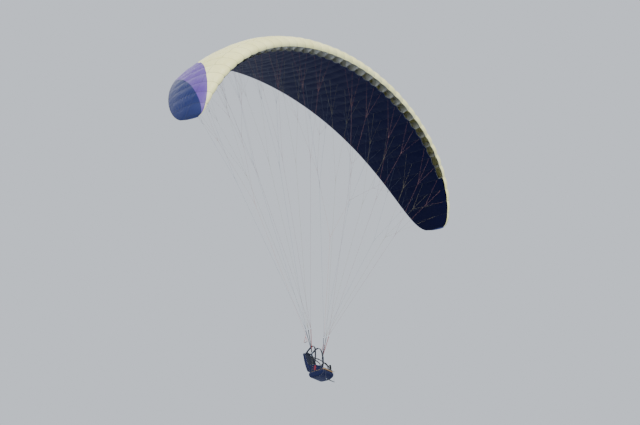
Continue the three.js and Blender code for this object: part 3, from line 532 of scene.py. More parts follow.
# Ribs
# White cloth walls between the cells, cut to the wing's section, with round cross-ports that let
# the air pass from cell to cell. They are sewn into the rib seams.
# Each port: how far back its middle lies, and half its width, in shares of the chord.
rib_ports = [(0.17, 0.045), (0.28, 0.05), (0.40, 0.05), (0.52, 0.045), (0.64, 0.04), (0.75, 0.032)]
port_tall, rib_inset, rib_thick, rib_rear = 0.52, 0.0014, 0.0008, 0.96
# A rib's outline takes finer steps round the nose: its upper line ends and the nose starts at rib_nose.
rib_steps, rib_nose_steps, rib_nose, rib_spacing = 26, 12, (0.03, 0.02), 0.37


def full_turn(steps):
    return np.arange(steps) * 2 * pi / steps


def rib_loops(number, lip, last):
    """A rib's station, and its outline and ports as loops of (back, height), in metres."""
    station = number / cells_a_side
    chord = float(chord_at(station))
    run = np.concatenate([
        np.linspace(run_at(lip, -1), run_at(last, -1), rib_steps),
        np.linspace(run_at(last, 1), run_at(rib_nose[0], 1), rib_steps),
        np.linspace(run_at(rib_nose[1], 1), run_at(upper_lip, -1), rib_nose_steps),
    ])
    back = np.interp(run, outline_run, outline_back)
    height = np.interp(run, outline_run, outline_height) * chord + np.sign(run) * edge_half * back
    out_back, out_height = (np.interp(run, outline_run, part) for part in outline_out)
    loops = [np.stack([back * chord - out_back * rib_inset, height - out_height * rib_inset], axis=1)]
    turn = full_turn(16)
    for at, reach in rib_ports:
        middle = np.interp(sqrt(at), outline_s, outline_camber) * chord
        tall = np.interp(sqrt(at), outline_s, outline_half) * chord * port_tall
        wide = reach * chord
        loops.append(np.stack([at * chord + wide * np.cos(turn), middle + tall * np.sin(turn)], axis=1))
    return station, loops


for panel, from_cell, to_cell, cloth, cloth_slot, is_open in panels:
    rib_points, rib_faces, rib_across, rib_lengths = [], [], [], []
    for number in range(from_cell + (from_cell > 0), to_cell + (to_cell > 0)):
        if abs(number) == cells_a_side:
            continue
        station, loops = rib_loops(number, lower_lip if is_open else closed_lip, rib_rear)
        flat_loops = [[Vector((x, y, 0)) for x, y in loop] for loop in loops]
        triangles = tessellate_polygon(flat_loops)
        joined = np.concatenate(loops)
        first = sum(len(p) for p in rib_points)
        rib_points.append(on_wing(np.full(len(joined), station or 1e-9), joined[:, 0], joined[:, 1]))
        rib_faces += [[first + i for i in triangle] for triangle in triangles]
        rib_across.append(joined + (number * rib_spacing, 0))
        rib_lengths.append(joined[:, 0].max())
    rib_points = np.concatenate(rib_points)
    ribs = add_mesh(f"ribs_{panel}", rib_points, rib_faces, rib_white, np.concatenate(rib_across))
    ribs.data.shade_flat()
    add_thickness(ribs, rib_thick, 0.0)
    fit(ribs, "wing", "upper_cloth")


# Tip caps
# The last cell is closed at each tip by a narrow curved panel of slate cloth, sewn between the
# upper and lower skins and blown outwards by the air inside.
cap_rings, cap_columns, cap_reach, cap_foot = 7, 60, 0.022, 0.031
cap_fullest, cap_blunt = 0.6, 0.7
sides = ((1, "left"), (-1, "right"))

for side, side_name in sides:
    back = np.linspace(0, 1, cap_columns) ** 2
    height = np.interp(np.sqrt(back), outline_s, outline_camber) * tip_chord
    half = np.interp(np.sqrt(back), outline_s, outline_half) * tip_chord + edge_half * back
    tilt = tilt_even + tilt_tip
    rings, cap_across = [], []
    for share in np.cos(np.linspace(0, pi / 2, cap_rings)):
        reach = cap_reach * sqrt(1 - share ** 2) * np.sin(pi * back ** cap_fullest) ** cap_blunt
        for sign in (1, -1):
            edge = height + sign * half * share
            ring = on_wing(np.full(cap_columns, float(side)), back * tip_chord, edge)
            rings.append(ring + np.stack([side * reach * cos(tilt), 0 * reach, -reach * sin(tilt)], axis=1))
            cap_across.append(np.stack([back * tip_chord, edge + cap_foot], axis=1))
    order = [2 * i for i in range(cap_rings)] + [2 * i + 1 for i in reversed(range(cap_rings))]
    cap = add_mesh(f"tip_cap_{side_name}", np.concatenate([rings[i] for i in order]),
                   grid_faces(len(order), cap_columns, side > 0), upper_slate,
                   np.concatenate([cap_across[i] for i in order]))
    add_thickness(cap, cloth_thick)
    fit(cap, "wing", "tip_cloth")


# Sewn edges
# Woven tape is folded round the two lips of the intakes and round the trailing edge, and sewn
# through. It keeps the edges from stretching.
strip_softness = 0.75


def flat_profile(width, thick):
    """A flat strip's rounded outline of (across, through) points."""
    half, edge = width / 2, thick / 2
    soft = min(edge * strip_softness, half)
    return np.array([
        (-half + soft, -edge), (half - soft, -edge), (half, -edge + soft), (half, edge - soft),
        (half - soft, edge), (-half + soft, edge), (-half, edge - soft), (-half, -edge + soft),
    ])


def unit(vectors):
    return vectors / np.maximum(np.linalg.norm(vectors, axis=-1, keepdims=True), 1e-12)


class Sewing:
    """Gathers swept strips, cords and wires into one mesh."""

    def __init__(self):
        self.points, self.faces, self.corners, self.count = [], [], [], 0

    def rings(self, rings, lengths, closed=False):
        """Skins a row of equal closed rings of points; lengths says how far along each one lies."""
        rings = np.asarray(rings, float)
        rows, columns = rings.shape[:2]
        round_it = np.linalg.norm(np.roll(rings[0], -1, axis=0) - rings[0], axis=1)
        about = np.concatenate([[0], np.cumsum(round_it)])
        for row in range(rows if closed else rows - 1):
            here, after = row * columns, (row + 1) % rows * columns
            far = lengths[row + 1] if row + 1 < rows else lengths[row] + lengths[1] - lengths[0]
            for column in range(columns):
                beside = (column + 1) % columns
                corners = (here + column, here + beside, after + beside, after + column)
                self.faces.append([self.count + corner for corner in corners])
                self.corners += [(lengths[row], about[column]), (lengths[row], about[column + 1]),
                                 (far, about[column + 1]), (far, about[column])]
        if not closed:
            for row, turned in ((0, True), (rows - 1, False)):
                cap = [self.count + row * columns + i for i in range(columns)]
                self.faces.append(cap[::-1] if turned else cap)
                self.corners += [(lengths[row], 0.0)] * columns
        self.points.append(rings.reshape(-1, 3))
        self.count += rows * columns

    def sweep(self, path, profile, side=None, sizes=None, closed=False):
        """Carries a profile along a path; side is the direction, or one a point, of its first axis."""
        path = np.asarray([tuple(p) for p in path], float)
        ahead = np.roll(path, -1, axis=0) - path
        before = path - np.roll(path, 1, axis=0)
        if not closed:
            ahead[-1], before[0] = before[-1], ahead[0]
        along = unit(unit(ahead) + unit(before))
        if side is None:
            side = np.zeros(3)
            side[np.argmin(np.abs(along[0]))] = 1.0
            turned = []
            for direction in along:
                side = unit(side - direction * (side @ direction))
                turned.append(side)
            side = np.array(turned)
        side = np.broadcast_to(np.asarray(side, float), path.shape)
        side = unit(side - along * (side * along).sum(axis=1, keepdims=True))
        up = np.cross(along, side)
        sizes = np.ones(len(path)) if sizes is None else np.asarray(sizes, float)
        spread = profile[None, :, :] * sizes[:, None, None]
        rings = path[:, None] + spread[..., :1] * side[:, None] + spread[..., 1:] * up[:, None]
        lengths = np.concatenate([[0], np.cumsum(np.linalg.norm(np.diff(path, axis=0), axis=1))])
        self.rings(rings, lengths, closed)

    def band(self, path, width, thick, side, **shape):
        """A flat strip along a path; side is the way that its width lies."""
        self.sweep(path, flat_profile(width, thick), side, **shape)

    def wire(self, path, radius, around=8, **shape):
        """A round cord, wire or bar along a path, with so many faces around it."""
        turns = full_turn(around)
        self.sweep(path, radius * np.stack([np.cos(turns), np.sin(turns)], axis=1), **shape)

    def make(self, name, material, creased=40):
        """The mesh of all that was gathered, with an edge sharper than creased degrees left sharp."""
        piece = add_mesh(name, np.concatenate(self.points), self.faces, material, corners=self.corners)
        piece.data.set_sharp_from_angle(angle=radians(creased))
        return piece


webbing, webbing_in = new_group("woven_webbing", ["Colour"], ["Across"])
woven = webbing.split(webbing_in["Place"])
edge_off = webbing.gap(woven[1], webbing_in["Across"])
# A herringbone of slanted yarns over lengthways ridges, and a row of thread along each edge.
bone_width, yarn_pitch, ridge_pitch, seam_inset, dash_pitch = 0.006, 0.0018, 0.0015, 0.0026, 0.0042
bone_turn = webbing.apart(webbing.times(webbing.gap(woven[1], bone_width), 2.0), bone_width / 2)
yarn_groove = webbing.step(webbing.gap(webbing.plus(woven[0], bone_turn), yarn_pitch), 0.0001, 0.0008)
ridge = webbing.step(webbing.gap(woven[1], ridge_pitch), 0.0001, 0.0006)
seam_row = webbing.step(webbing.apart(edge_off, seam_inset), 0.0009, 0.0004)
seam_dash = webbing.step(webbing.gap(woven[0], dash_pitch), 0.0009, 0.0015)
seam_thread = webbing.times(seam_row, seam_dash)
dirt = webbing.noise(webbing_in["Place"], 30.0, 4.0)
dirty = webbing.times(webbing.step(dirt, 0.45, 0.8), 0.12)
# Between the raised yarn lines the webbing is darkened: painted shade in the weave's grooves.
web_colour = webbing.mix(webbing.times(yarn_groove, 0.45), webbing_in["Colour"], (0.01, 0.01, 0.014, 1.0))
web_colour = webbing.mix(dirty, web_colour, (0.12, 0.115, 0.1, 1.0))
web_colour = webbing.mix(webbing.times(seam_thread, 0.7), web_colour, (0.62, 0.6, 0.52, 1.0))
web_bumps = webbing.plus(webbing.times(ridge, 0.0003), webbing.times(yarn_groove, -0.0004),
                         webbing.times(seam_thread, 0.0005))
web_rough = webbing.plus(webbing.times(dirt, 0.22), 0.62)
finish_group(webbing, web_colour, web_rough, web_bumps)


def webbing_material(name, code, across):
    return new_material(name, webbing, {"Colour": tone(code), "Across": across}, sheen=0.04, shine=0.3)


def edge_ring(station, run, inner, outer, thick):
    """A folded tape's outline round a cloth edge: from inner to outer along the section."""
    lift = skin_lift(station, np.full_like(station, run))
    fold = thick * tape_fold
    corners = ((inner, thick), (outer, fold), (outer, -fold - cloth_thick), (inner, -thick - cloth_thick))
    return np.stack([on_skin(station, run + reach / chord_at(station), lift + out)
                     for reach, out in corners], axis=1)


tape_width, tape_thick, tape_past, tape_fold = 0.010, 0.0012, 0.0015, 0.7
tape = webbing_material("edge_tape", "1b2440", tape_width + tape_thick)

for panel, from_cell, to_cell, cloth, cloth_slot, is_open in panels:
    if not is_open:
        continue
    bindings = Sewing()
    station = np.linspace(from_cell, to_cell, (to_cell - from_cell) * steps_a_cell + 1) / cells_a_side
    bow = lip_bow * cell_fill(station)
    lengths = station * flat_span / 2
    for lip, direction in ((upper_edge(upper_lip, bow), 1), (lower_lip + bow, -1)):
        bindings.rings(edge_ring(station, run_at(lip, -1), direction * tape_width, -direction * tape_past,
                                 tape_thick), lengths)
    fit(bindings.make(f"intake_tape_{panel}", tape), "wing", "webbing")

hem_width, hem_thick, hem_past = 0.012, 0.0006, 0.0025
hem = Sewing()
station = np.linspace(-1, 1, 40 * steps_a_cell + 1)
hem_rings = []
for direction, inwards in ((1, hem_width), (1, 0), (0, 0), (-1, 0), (-1, hem_width)):
    if direction == 0:
        hem_rings.append(on_wing(station, chord_at(station) + hem_past, 0 * station))
    else:
        run = run_at(1.0, direction) - direction * inwards / chord_at(station)
        hem_rings.append(on_skin(station, run, skin_lift(station, run) + hem_thick))
hem.rings(np.stack(hem_rings, axis=1), station * flat_span / 2)
fit(hem.make("trailing_hem", tape), "wing", "lower_cloth")


# Line tabs
# Each line ends in a loop of narrow tape that is sewn into a rib seam of the lower skin.
def tab_point(side, rib, back, clear=0.0043):
    """Where a line meets its tab, just outside the lower skin at a rib."""
    station = side * rib / cells_a_side
    return on_skin(np.float64(station), run_at(back, -1), clear)


tab_width, tab_thick, top_b_rib = 0.009, 0.0009, 19
tab_root, tab_end, tab_neck, tab_slant = -0.004, 0.0125, 0.011, 0.01
root_half, neck_half, end_half = 0.004, 0.003, 0.0012
tabs = Sewing()
for side in (1, -1):
    served = [(rib, back) for rib in tab_ribs for back in tab_rows.values()]
    served += [(rib, brake_row) for rib in brake_ribs] + [(top_b_rib, tab_rows["b"])]
    for rib, back in served:
        root, end = (tab_point(side, rib, back, clear) for clear in (tab_root, tab_end))
        out = unit(end - root)
        behind, ahead = (tab_point(side, rib, back + shift) for shift in (tab_slant, -tab_slant))
        fore = np.cross(out, unit(behind - ahead))
        along = np.cross(fore, out)
        fold = ((root, root_half), (root + out * tab_neck, neck_half), (end, end_half))
        loop = [at + along * half for at, half in fold] + [at - along * half for at, half in fold[::-1]]
        tabs.band(loop, tab_width, tab_thick, fore)
fit(tabs.make("line_tabs", tape), "wing", "webbing")


# Lines
# Three rows of braided, sheathed lines a side carry the wing: thicker ones at the risers that fork
# twice on the way up. Every end is spliced back into itself, which makes it thicker.
braid, braid_in = new_group("braided_cord", ["Colour"])
laid = braid.split(braid_in["Place"])
braid_pitch = 0.0016
strands = braid.crossing(braid.plus(laid[0], laid[1]), braid.less(laid[0], laid[1]), braid_pitch, 0.02, 0.2)
smudge = braid.noise(braid_in["Place"], 4.0, 4.0)
# Between the strands the braid is darkened: painted shade in the gaps of the braid.
between = braid.times(braid.less(1.0, strands), 0.45)
braid_colour = braid.mix(between, braid_in["Colour"], (0.03, 0.03, 0.03, 1.0))
braid_colour = braid.mix(braid.times(smudge, 0.3), braid_colour, (0.3, 0.29, 0.26, 1.0))
braid_rough = braid.plus(braid.times(smudge, 0.2), 0.5)
finish_group(braid, braid_colour, braid_rough, braid.times(strands, 0.0003))


def cord_material(name, code):
    return new_material(name, braid, {"Colour": tone(code)}, sheen=0.08)


main_radius, middle_radius, top_radius = 0.0015, 0.00125, 0.0010
splice, splice_taper, splice_size, tip_taper, tip_size = 0.11, 0.02, 1.55, 0.006, 0.8
line_braids = {row: cord_material(f"braid_{row}", code)
               for row, code in (("a", "7c3b36"), ("b", "857b4c"), ("c", "5b6678"))}
row_tree = [[2, 5], [8, 11], [14, 17]]
fork_share, top_fork_share, strand_spacing = 0.62, 0.66, 0.004
# Each knot's radius and half its length; its ends have knot_end of the radius.
top_knot, fork_knot, tie_knot = (0.003, 0.005), (0.0045, 0.007), (0.0062, 0.008)
knot_end = 0.35

hang_drop, hang_half = 7.35, 0.21
riser_lean, riser_length, riser_fan = radians(14), 0.505, 0.075
loop_rise, link_height, link_half = 0.034, 0.040, 0.015
row_fan = {"a": -1, "b": 0, "c": 1}
x_axis, y_axis, z_axis = np.eye(3)


def hang_point(side):
    """Where the riser's loop hangs in the carabiner."""
    return np.array((side * hang_half, 0, -hang_drop))


def riser_up(side):
    return np.array((side * sin(riser_lean), 0, cos(riser_lean)))


def riser_out(side):
    return np.array((cos(riser_lean), 0, -side * sin(riser_lean)))


def riser_point(side, share, fan):
    """A point part of the way up a riser's web; fan is -1 for the front one and 1 for the rear one."""
    foot = hang_point(side) + (0, 0, loop_rise)
    return foot + share * riser_length * riser_up(side) + (0, share * fan * riser_fan, 0)


def straight(start, direction, lengths):
    """Points on a straight line, by how far along it each lies."""
    return np.asarray(start) + np.multiply.outer(np.asarray(lengths), direction)


def arc(centre, radius, first, second, turns):
    """Points on a circle: first is the way to turn 0, second the way to a quarter turn."""
    turns = np.asarray(turns)[:, None]
    return np.asarray(centre) + radius * (np.cos(turns) * first + np.sin(turns) * second)


def add_strand(sewing, start, end, radius):
    """A line between two points, thicker where each end is spliced back."""
    length = float(np.linalg.norm(end - start))
    near = np.array((0, tip_taper, splice, splice + splice_taper))
    sizes = [tip_size, splice_size, splice_size, 1]
    path = straight(start, (end - start) / length, [*near, *(length - near[::-1])])
    sewing.wire(path, radius, 6, sizes=sizes + sizes[::-1])


def add_knot(sewing, middle, radius, rise):
    """A small turned knot where lines are looped through each other."""
    steps = np.linspace(-1, 1, 7)
    sizes = knot_end + (1 - knot_end) * np.sqrt(np.clip(1 - steps ** 2, 0, 1))
    sewing.wire(straight(middle, z_axis, steps * rise), radius, sizes=sizes)


def add_tops(sewing, side, start, rib, beside, back):
    """The line to a rib's tab, with a shorter line to the tab at each side of it."""
    end = tab_point(side, rib, back)
    add_strand(sewing, start, end, middle_radius)
    fork = start + (end - start) * top_fork_share
    add_knot(sewing, fork, *top_knot)
    for other in beside:
        add_strand(sewing, fork, tab_point(side, other, back), top_radius)


loop_radius, loop_cord, loop_tie, loop_up, loop_long = 0.0048, 0.0022, 0.014, 0.001, 1.1
loop_turns = np.linspace(-pi * 0.85, pi * 0.85, 11)

for side, side_name in sides:
    for row, fan in row_fan.items():
        lines = Sewing()
        back, up = tab_rows[row], riser_up(side)
        head = riser_point(side, 1, fan) + link_height * up
        start = head + loop_tie * up
        loop = arc(head + loop_up * up, loop_radius, -loop_long * up, side * riser_out(side), loop_turns)
        lines.wire([start, *loop, start], loop_cord)
        add_knot(lines, start, *tie_knot)
        for i, branch in enumerate(row_tree):
            first = start + (side * (i - 1) * strand_spacing, 0, 0)
            middle = sum(tab_point(side, rib, back) for rib in branch) / len(branch)
            fork = first + (middle - first) * fork_share
            add_strand(lines, first, fork, main_radius)
            add_knot(lines, fork, *fork_knot)
            for j, rib in enumerate(branch):
                beside = fork + (side * (j - 0.5) * strand_spacing, 0, 0)
                add_tops(lines, side, beside, rib, (rib - 1, rib + 1), back)
            if row == "b" and i == 2:
                add_strand(lines, fork, tab_point(side, top_b_rib, back), top_radius)
        fit(lines.make(f"line_row_{row}_{side_name}", line_braids[row]),
            "wing", "line", f"{row}_lines_{side_name}")


# Brake lines
# A fan of orange lines pulls the trailing edge down. Its single lower line runs through a ring on
# the rearmost riser web to the brake toggle.
pulley_share, pulley_out, pulley_back, brake_knot_rise = 0.78, 0.030, 0.020, 0.015
brake_pairs, brake_fork_share = ((3, 7), (11, 15)), 0.5
brake_knot, brake_fork_knot = (0.006, 0.0065), (0.004, 0.006)
brake_orange = cord_material("brake_braid", "b8602c")


def pulley_point(side):
    """The middle of the brake line's ring."""
    return riser_point(side, pulley_share, 1) + (side * pulley_out, pulley_back, 0)


for side, side_name in sides:
    lines = Sewing()
    start = pulley_point(side) + (0, 0, brake_knot_rise)
    middles = [sum(tab_point(side, rib, brake_row) for rib in pair) / 2 for pair in brake_pairs]
    fork = start + (sum(middles) / 2 - start) * brake_fork_share
    add_strand(lines, start, fork, main_radius)
    add_knot(lines, start, *brake_knot)
    add_knot(lines, fork, *fork_knot)
    for i, pair in enumerate(brake_pairs):
        first = fork + (side * (i - 0.5) * strand_spacing, 0, 0)
        upper_fork = first + (middles[i] - first) * brake_fork_share
        add_strand(lines, first, upper_fork, middle_radius)
        add_knot(lines, upper_fork, *brake_fork_knot)
        for j, rib in enumerate(pair):
            beside = upper_fork + (side * (j - 0.5) * strand_spacing, 0, 0)
            add_tops(lines, side, beside, rib, (rib - 1, rib + 1), brake_row)
    fit(lines.make(f"brake_fan_{side_name}", brake_orange), "wing", "line", f"brake_lines_{side_name}")


# Steel links
# A screw link of polished stainless steel joins each riser web to its lines. One long side has a
# hexagonal sleeve on a thread.
metal, metal_in = new_group("worn_metal", ["Colour"], ["Roughness"])
wear = metal.step(metal.noise(metal_in["Place"], 300.0, 5.0), 0.55, 0.75)
scuff = metal.noise(metal.stretch(metal_in["Place"], (900.0, 60.0, 900.0)), 1.0, 2.0)
metal_colour = metal.mix(metal.times(wear, 0.3), metal_in["Colour"], (0.75, 0.76, 0.78, 1.0))
metal_rough = metal.plus(metal_in["Roughness"], metal.times(scuff, 0.14))
finish_group(metal, metal_colour, metal_rough, metal.times(scuff, 0.00008))


def metal_material(name, code, rough):
    return new_material(name, metal, {"Colour": tone(code), "Roughness": rough}, metal=1.0, uv=False)


def rounded(corners, steps=6):
    """An outline whose corners (across, up, radius) are rounded off."""
    made = []
    for i, (x, y, radius) in enumerate(corners):
        corner = np.array((x, y))
        before, after = (np.array(corners[j][:2]) - corner for j in (i - 1, (i + 1) % len(corners)))
        before, after = corner + unit(before) * radius, corner + unit(after) * radius
        for t in np.linspace(0, 1, steps):
            made.append((1 - t) ** 2 * before + 2 * t * (1 - t) * corner + t ** 2 * after)
    return np.array(made)


def placed(outline, centre, across, up):
    """Flat outline points set in space."""
    outline = np.asarray(outline)
    return np.asarray(centre) + outline[:, :1] * across + outline[:, 1:] * up


link_steel = metal_material("link_steel", "c9ccd0", 0.16)
link_wire, link_corner, sleeve_radius, thread_radius = 0.0025, 0.009, 0.0043, 0.0029
sleeve_ends, thread_ends = (-0.0085, -0.0075, 0.0045, 0.0055), (0.0055, 0.0095)

for side, side_name in sides:
    for row, fan in row_fan.items():
        up = riser_up(side)
        centre = riser_point(side, 1, fan) + up * link_height / 2
        corners = [(y * link_half, z * link_height / 2, link_corner) for y, z in square]
        long_side = centre - link_half * y_axis
        link = Sewing()
        link.wire(placed(rounded(corners), centre, y_axis, up), link_wire, 12, closed=True)
        link.wire(straight(long_side, up, sleeve_ends), sleeve_radius, 6, side=y_axis,
                  sizes=[0.85, 1, 1, 0.85])
        link.wire(straight(long_side, up, thread_ends), thread_radius, 12)
        fit(link.make(f"screw_link_{row}_{side_name}", link_steel),
            "wing", "steel", f"link_{row}_{side_name}")


# Risers
# Three webs, red, black and blue from the front, fan out from one loop with a sewn cover. Each is
# folded round its link and sewn back on itself. The rearmost one carries the brake line's ring.
riser_width, riser_thick, link_turn, riser_lay = 0.018, 0.0022, 0.0040, 0.0012
riser_webbing = webbing_material("riser_webbing", "20242c", riser_width + riser_thick)
riser_webs = {row: webbing_material(f"riser_webbing_{row}", code, riser_width + riser_thick)
              for row, code in (("a", "9a2f2a"), ("b", "23272f"), ("c", "2c3a55"))}
ring_steel = metal_material("ring_steel", "b9bcc0", 0.2)
loop_width, loop_thick, cover_width, cover_thick = 0.022, 0.0042, 0.030, 0.013
hold_width, hold_thick, ring_radius, ring_wire = 0.010, 0.003, 0.009, 0.0022
under_rise, under_radius, loop_half, cover_rise = 0.0098, 0.0075, 0.0035, 0.012
cover_ends = (-0.008, -0.006, 0.034, 0.038)
# How far up its riser a web is led on its way up and on its way back, and where it starts to bend.
rise_shares, fall_shares, bend_start = (0.0, 0.3, 0.6, 0.88), (0.9, 0.82), 0.016

for side, side_name in sides:
    up, out = riser_up(side), riser_out(side)
    riser = f"riser_{side_name}"
    foot = hang_point(side) + (0, 0, loop_rise)
    under = arc(hang_point(side) + (0, 0, under_rise), under_radius, x_axis, z_axis,
                np.linspace(pi, 2 * pi, 13))
    hold = pulley_point(side) - (side * ring_radius, 0, 0)
    loop = Sewing()
    loop.band([foot + (-loop_half, 0, cover_rise), *under, foot + (loop_half, 0, cover_rise)],
              loop_width, loop_thick, y_axis)
    loop.band(straight(foot, up, cover_ends), cover_width, cover_thick, y_axis, sizes=[0.8, 1, 1, 0.75])
    loop.band([riser_point(side, pulley_share, 1), hold], hold_width, hold_thick, y_axis)
    fit(loop.make(f"riser_loop_{side_name}", riser_webbing), "wing", "webbing", riser)
    for row, fan in row_fan.items():
        bend = riser_point(side, 1, fan)
        before = bend - up * bend_start
        rise = [riser_point(side, share, fan) for share in rise_shares] + [before]
        fall = [before] + [riser_point(side, share, fan) for share in fall_shares]
        turned = arc(bend, link_turn, out, up, np.linspace(-0.5, pi + 0.5, 11))
        web = Sewing()
        web.band([*(np.array(rise) + out * riser_lay), *turned, *(np.array(fall) - out * riser_lay)],
                 riser_width, riser_thick, y_axis)
        fit(web.make(f"riser_web_{row}_{side_name}", riser_webs[row]), "wing", "webbing", riser)
    ring = Sewing()
    ring_path = arc(pulley_point(side), ring_radius, x_axis, y_axis, full_turn(24))
    ring.wire(ring_path, ring_wire, 10, closed=True)
    fit(ring.make(f"brake_ring_{side_name}", ring_steel), "wing", "steel", riser)


# Brake toggles
# Each is a loop of webbing sewn into a triangle, with a foam-padded bar for the hand and a stiff
# sleeve at the top, where the brake line is tied on.
foam, foam_in = new_group("moulded_surface", ["Colour"], ["Grain", "Roughness"])
grain = foam.noise(foam_in["Place"], foam_in["Grain"], 3.0)
rubbed = foam.noise(foam_in["Place"], 12.0, 4.0)
rub = foam.times(foam.step(rubbed, 0.4, 0.8), 0.18)
foam_colour = foam.mix(rub, foam_in["Colour"], (0.35, 0.35, 0.34, 1.0))
foam_rough = foam.plus(foam_in["Roughness"], foam.times(rubbed, 0.15))
finish_group(foam, foam_colour, foam_rough, foam.times(grain, 0.0003))


def moulded_material(name, code, grain_scale=900.0, rough=0.55):
    values = {"Colour": tone(code), "Grain": grain_scale, "Roughness": rough}
    return new_material(name, foam, values, uv=False)


toggle_stub, toggle_half, toggle_height, toggle_width = 0.060, 0.055, 0.120, 0.013
toggle_thick, stub_radius, stub_ends = 0.0034, 0.0058, (-0.008, -0.004, 0.016, 0.022)
pull_top, pull_low, toggle_knot_rise, cord_knot = 0.006, 0.018, 0.026, (0.0042, 0.006)
toggle_corners = [(-0.008, 0.0, 0.006), (-toggle_half, -toggle_height, 0.024),
                  (toggle_half, -toggle_height, 0.024), (0.008, 0.0, 0.006)]
toggle_webbing = webbing_material("toggle_webbing", "c4472f", toggle_width + 0.003)
toggle_foam = moulded_material("toggle_foam", "22242a")
grip_radius, grip_half, grip_steps = 0.0072, 0.037, np.linspace(-1, 1, 15)
grip_sizes = 0.86 + 0.14 * np.abs(np.sin(grip_steps * 2.5 * pi)) - 0.25 * np.abs(grip_steps) ** 12

for side, side_name in sides:
    brake, node = f"brake_{side_name}", f"brake_toggle_{side_name}"
    apex = pulley_point(side) - (0, 0, toggle_stub)
    loop, grip, pull, knot = Sewing(), Sewing(), Sewing(), Sewing()
    loop.band(placed(rounded(toggle_corners, 9), apex, y_axis, z_axis), toggle_width, toggle_thick, x_axis,
              closed=True)
    loop.wire(straight(apex, z_axis, stub_ends), stub_radius, 10, sizes=[0.8, 1, 1, 0.45])
    fit(loop.make(f"toggle_{side_name}", toggle_webbing), brake, "grip", node)
    grip.wire(straight(apex - (0, 0, toggle_height), y_axis, grip_half * grip_steps), grip_radius, 14,
              sizes=grip_sizes)
    fit(grip.make(f"toggle_grip_{side_name}", toggle_foam), brake, "grip", node)
    top, low = pulley_point(side) + (0, 0, brake_knot_rise - pull_top), apex + (0, 0, pull_low)
    pull.wire(np.linspace(top, low, 30), main_radius)
    pull_piece = pull.make(f"brake_pull_line_{side_name}", brake_orange)
    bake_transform(pull_piece)
    add_knot(knot, apex + (0, 0, toggle_knot_rise), *cord_knot)
    fit(knot.make(f"toggle_knot_{side_name}", brake_orange), brake, "line")


# Carabiners
# An oval aluminium carabiner a side, with a sprung gate and a turning lock sleeve, hangs the harness
# in the riser loop.
carabiner_bend, carabiner_straight, carabiner_wire = 0.026, 0.052, 0.005
gate_gap, gate_radius, lock_radius, lock_half = 0.004, 0.0038, 0.0062, 0.014
pin_radius, pin_half, gate_end, pin_end, carabiner_drop = 0.0014, 0.0058, 0.003, 0.001, 0.0422
carabiner_metal = metal_material("carabiner_alloy", "8f9aa8", 0.25)
sleeve_metal = metal_material("sleeve_alloy", "2f3136", 0.35)


def carabiner_centre(side):
    return hang_point(side) - (0, 0, carabiner_drop)


def oval(half, bend, steps):
    """A long oval's outline: two half circles, with straight sides of twice half between them."""
    top = arc((0, half), bend, np.array((1, 0)), np.array((0, 1)), np.linspace(0, pi, steps))
    return np.concatenate([top, -top])


for side, side_name in sides:
    centre, half, node = carabiner_centre(side), carabiner_straight / 2, f"carabiner_{side_name}"
    outline = [(carabiner_bend, half - gate_gap), *oval(half, carabiner_bend, 13),
               (carabiner_bend, gate_gap - half)]
    gate_middle = centre + carabiner_bend * y_axis
    body, gate = Sewing(), Sewing()
    body.wire(placed(outline, centre, y_axis, z_axis), carabiner_wire, 14, side=x_axis)
    fit(body.make(f"carabiner_body_{side_name}", carabiner_metal), "harness", "alloy", node)
    gate.wire(straight(gate_middle, z_axis, (gate_end - half, half - gate_end)), gate_radius, 12)
    gate.wire(straight(gate_middle, z_axis, np.linspace(-lock_half, lock_half, 15)), lock_radius, 16,
              sizes=np.where(np.arange(15) % 2 == 0, 0.9, 1.0))
    for z in (pin_end - half, half - pin_end):
        gate.wire(straight(gate_middle + (0, 0, z), x_axis, (-pin_half, pin_half)), pin_radius, 10)
    fit(gate.make(f"carabiner_gate_{side_name}", sleeve_metal), "harness", "alloy", node)


# Main straps
# From each carabiner two webbing legs run down outside the side panel to the seat. They start in
# one sewn loop with a cover, and each has a steel slide for its length.
strap_width, strap_thick, strap_loop_thick, tail_width, tail_thick = 0.025, 0.003, 0.004, 0.0235, 0.0022
strap_cover_width, strap_cover_thick, slide_height, slide_past = 0.031, 0.013, 0.022, 0.008
strap_foot_drop, over_drop, over_radius, strap_end_drop = 0.1184, 0.052, 0.0072, 0.450
strap_cover_ends, strap_cover_fall = (-0.024, -0.020, 0.006, 0.010), 0.010
# A strap's loose end: how far up from its slide, and how far out, it starts and ends.
tail_run = ((0.008, 0.003), (0.10, 0.0055))
main_webbing = webbing_material("main_strap_webbing", "161a22", strap_width + strap_thick)
buckle_steel = metal_material("buckle_steel", "55585e", 0.3)
harness_z = -hang_drop
seat_front, seat_back, seat_half = -0.347, 0.025, 0.180
wall_x = 0.1924
# Each leg: how far back its knee lies, how high, and how far back it ends.
strap_legs = ((seat_front + 0.110, -0.330, seat_front + 0.090),
              (seat_back - 0.035, -0.310, seat_back - 0.010))


def smooth(points, steps=5):
    """A smooth path through points."""
    points = np.asarray(points, float)
    ends = np.concatenate([[2 * points[0] - points[1]], points, [2 * points[-1] - points[-2]]])
    made = []
    for i in range(1, len(ends) - 2):
        a, b, c, d = ends[i - 1:i + 3]
        for t in np.linspace(0, 1, steps, endpoint=False):
            made.append(0.5 * (2 * b + (c - a) * t + (2 * a - 5 * b + 4 * c - d) * t ** 2
                               + (3 * b - a - 3 * c + d) * t ** 3))
    return np.array(made + [points[-1]])


def add_slide(sewing, centre, across, up, width, height, wire=0.0022):
    """A steel slide: a rounded frame with a middle bar."""
    corners = [(x * width / 2, y * height / 2, 0.004) for x, y in square]
    sewing.wire(placed(rounded(corners, 4), centre, across, up), wire, 10, closed=True)
    sewing.wire(placed([(-width / 2, 0), (width / 2, 0)], centre, across, up), wire * 0.9, 10)


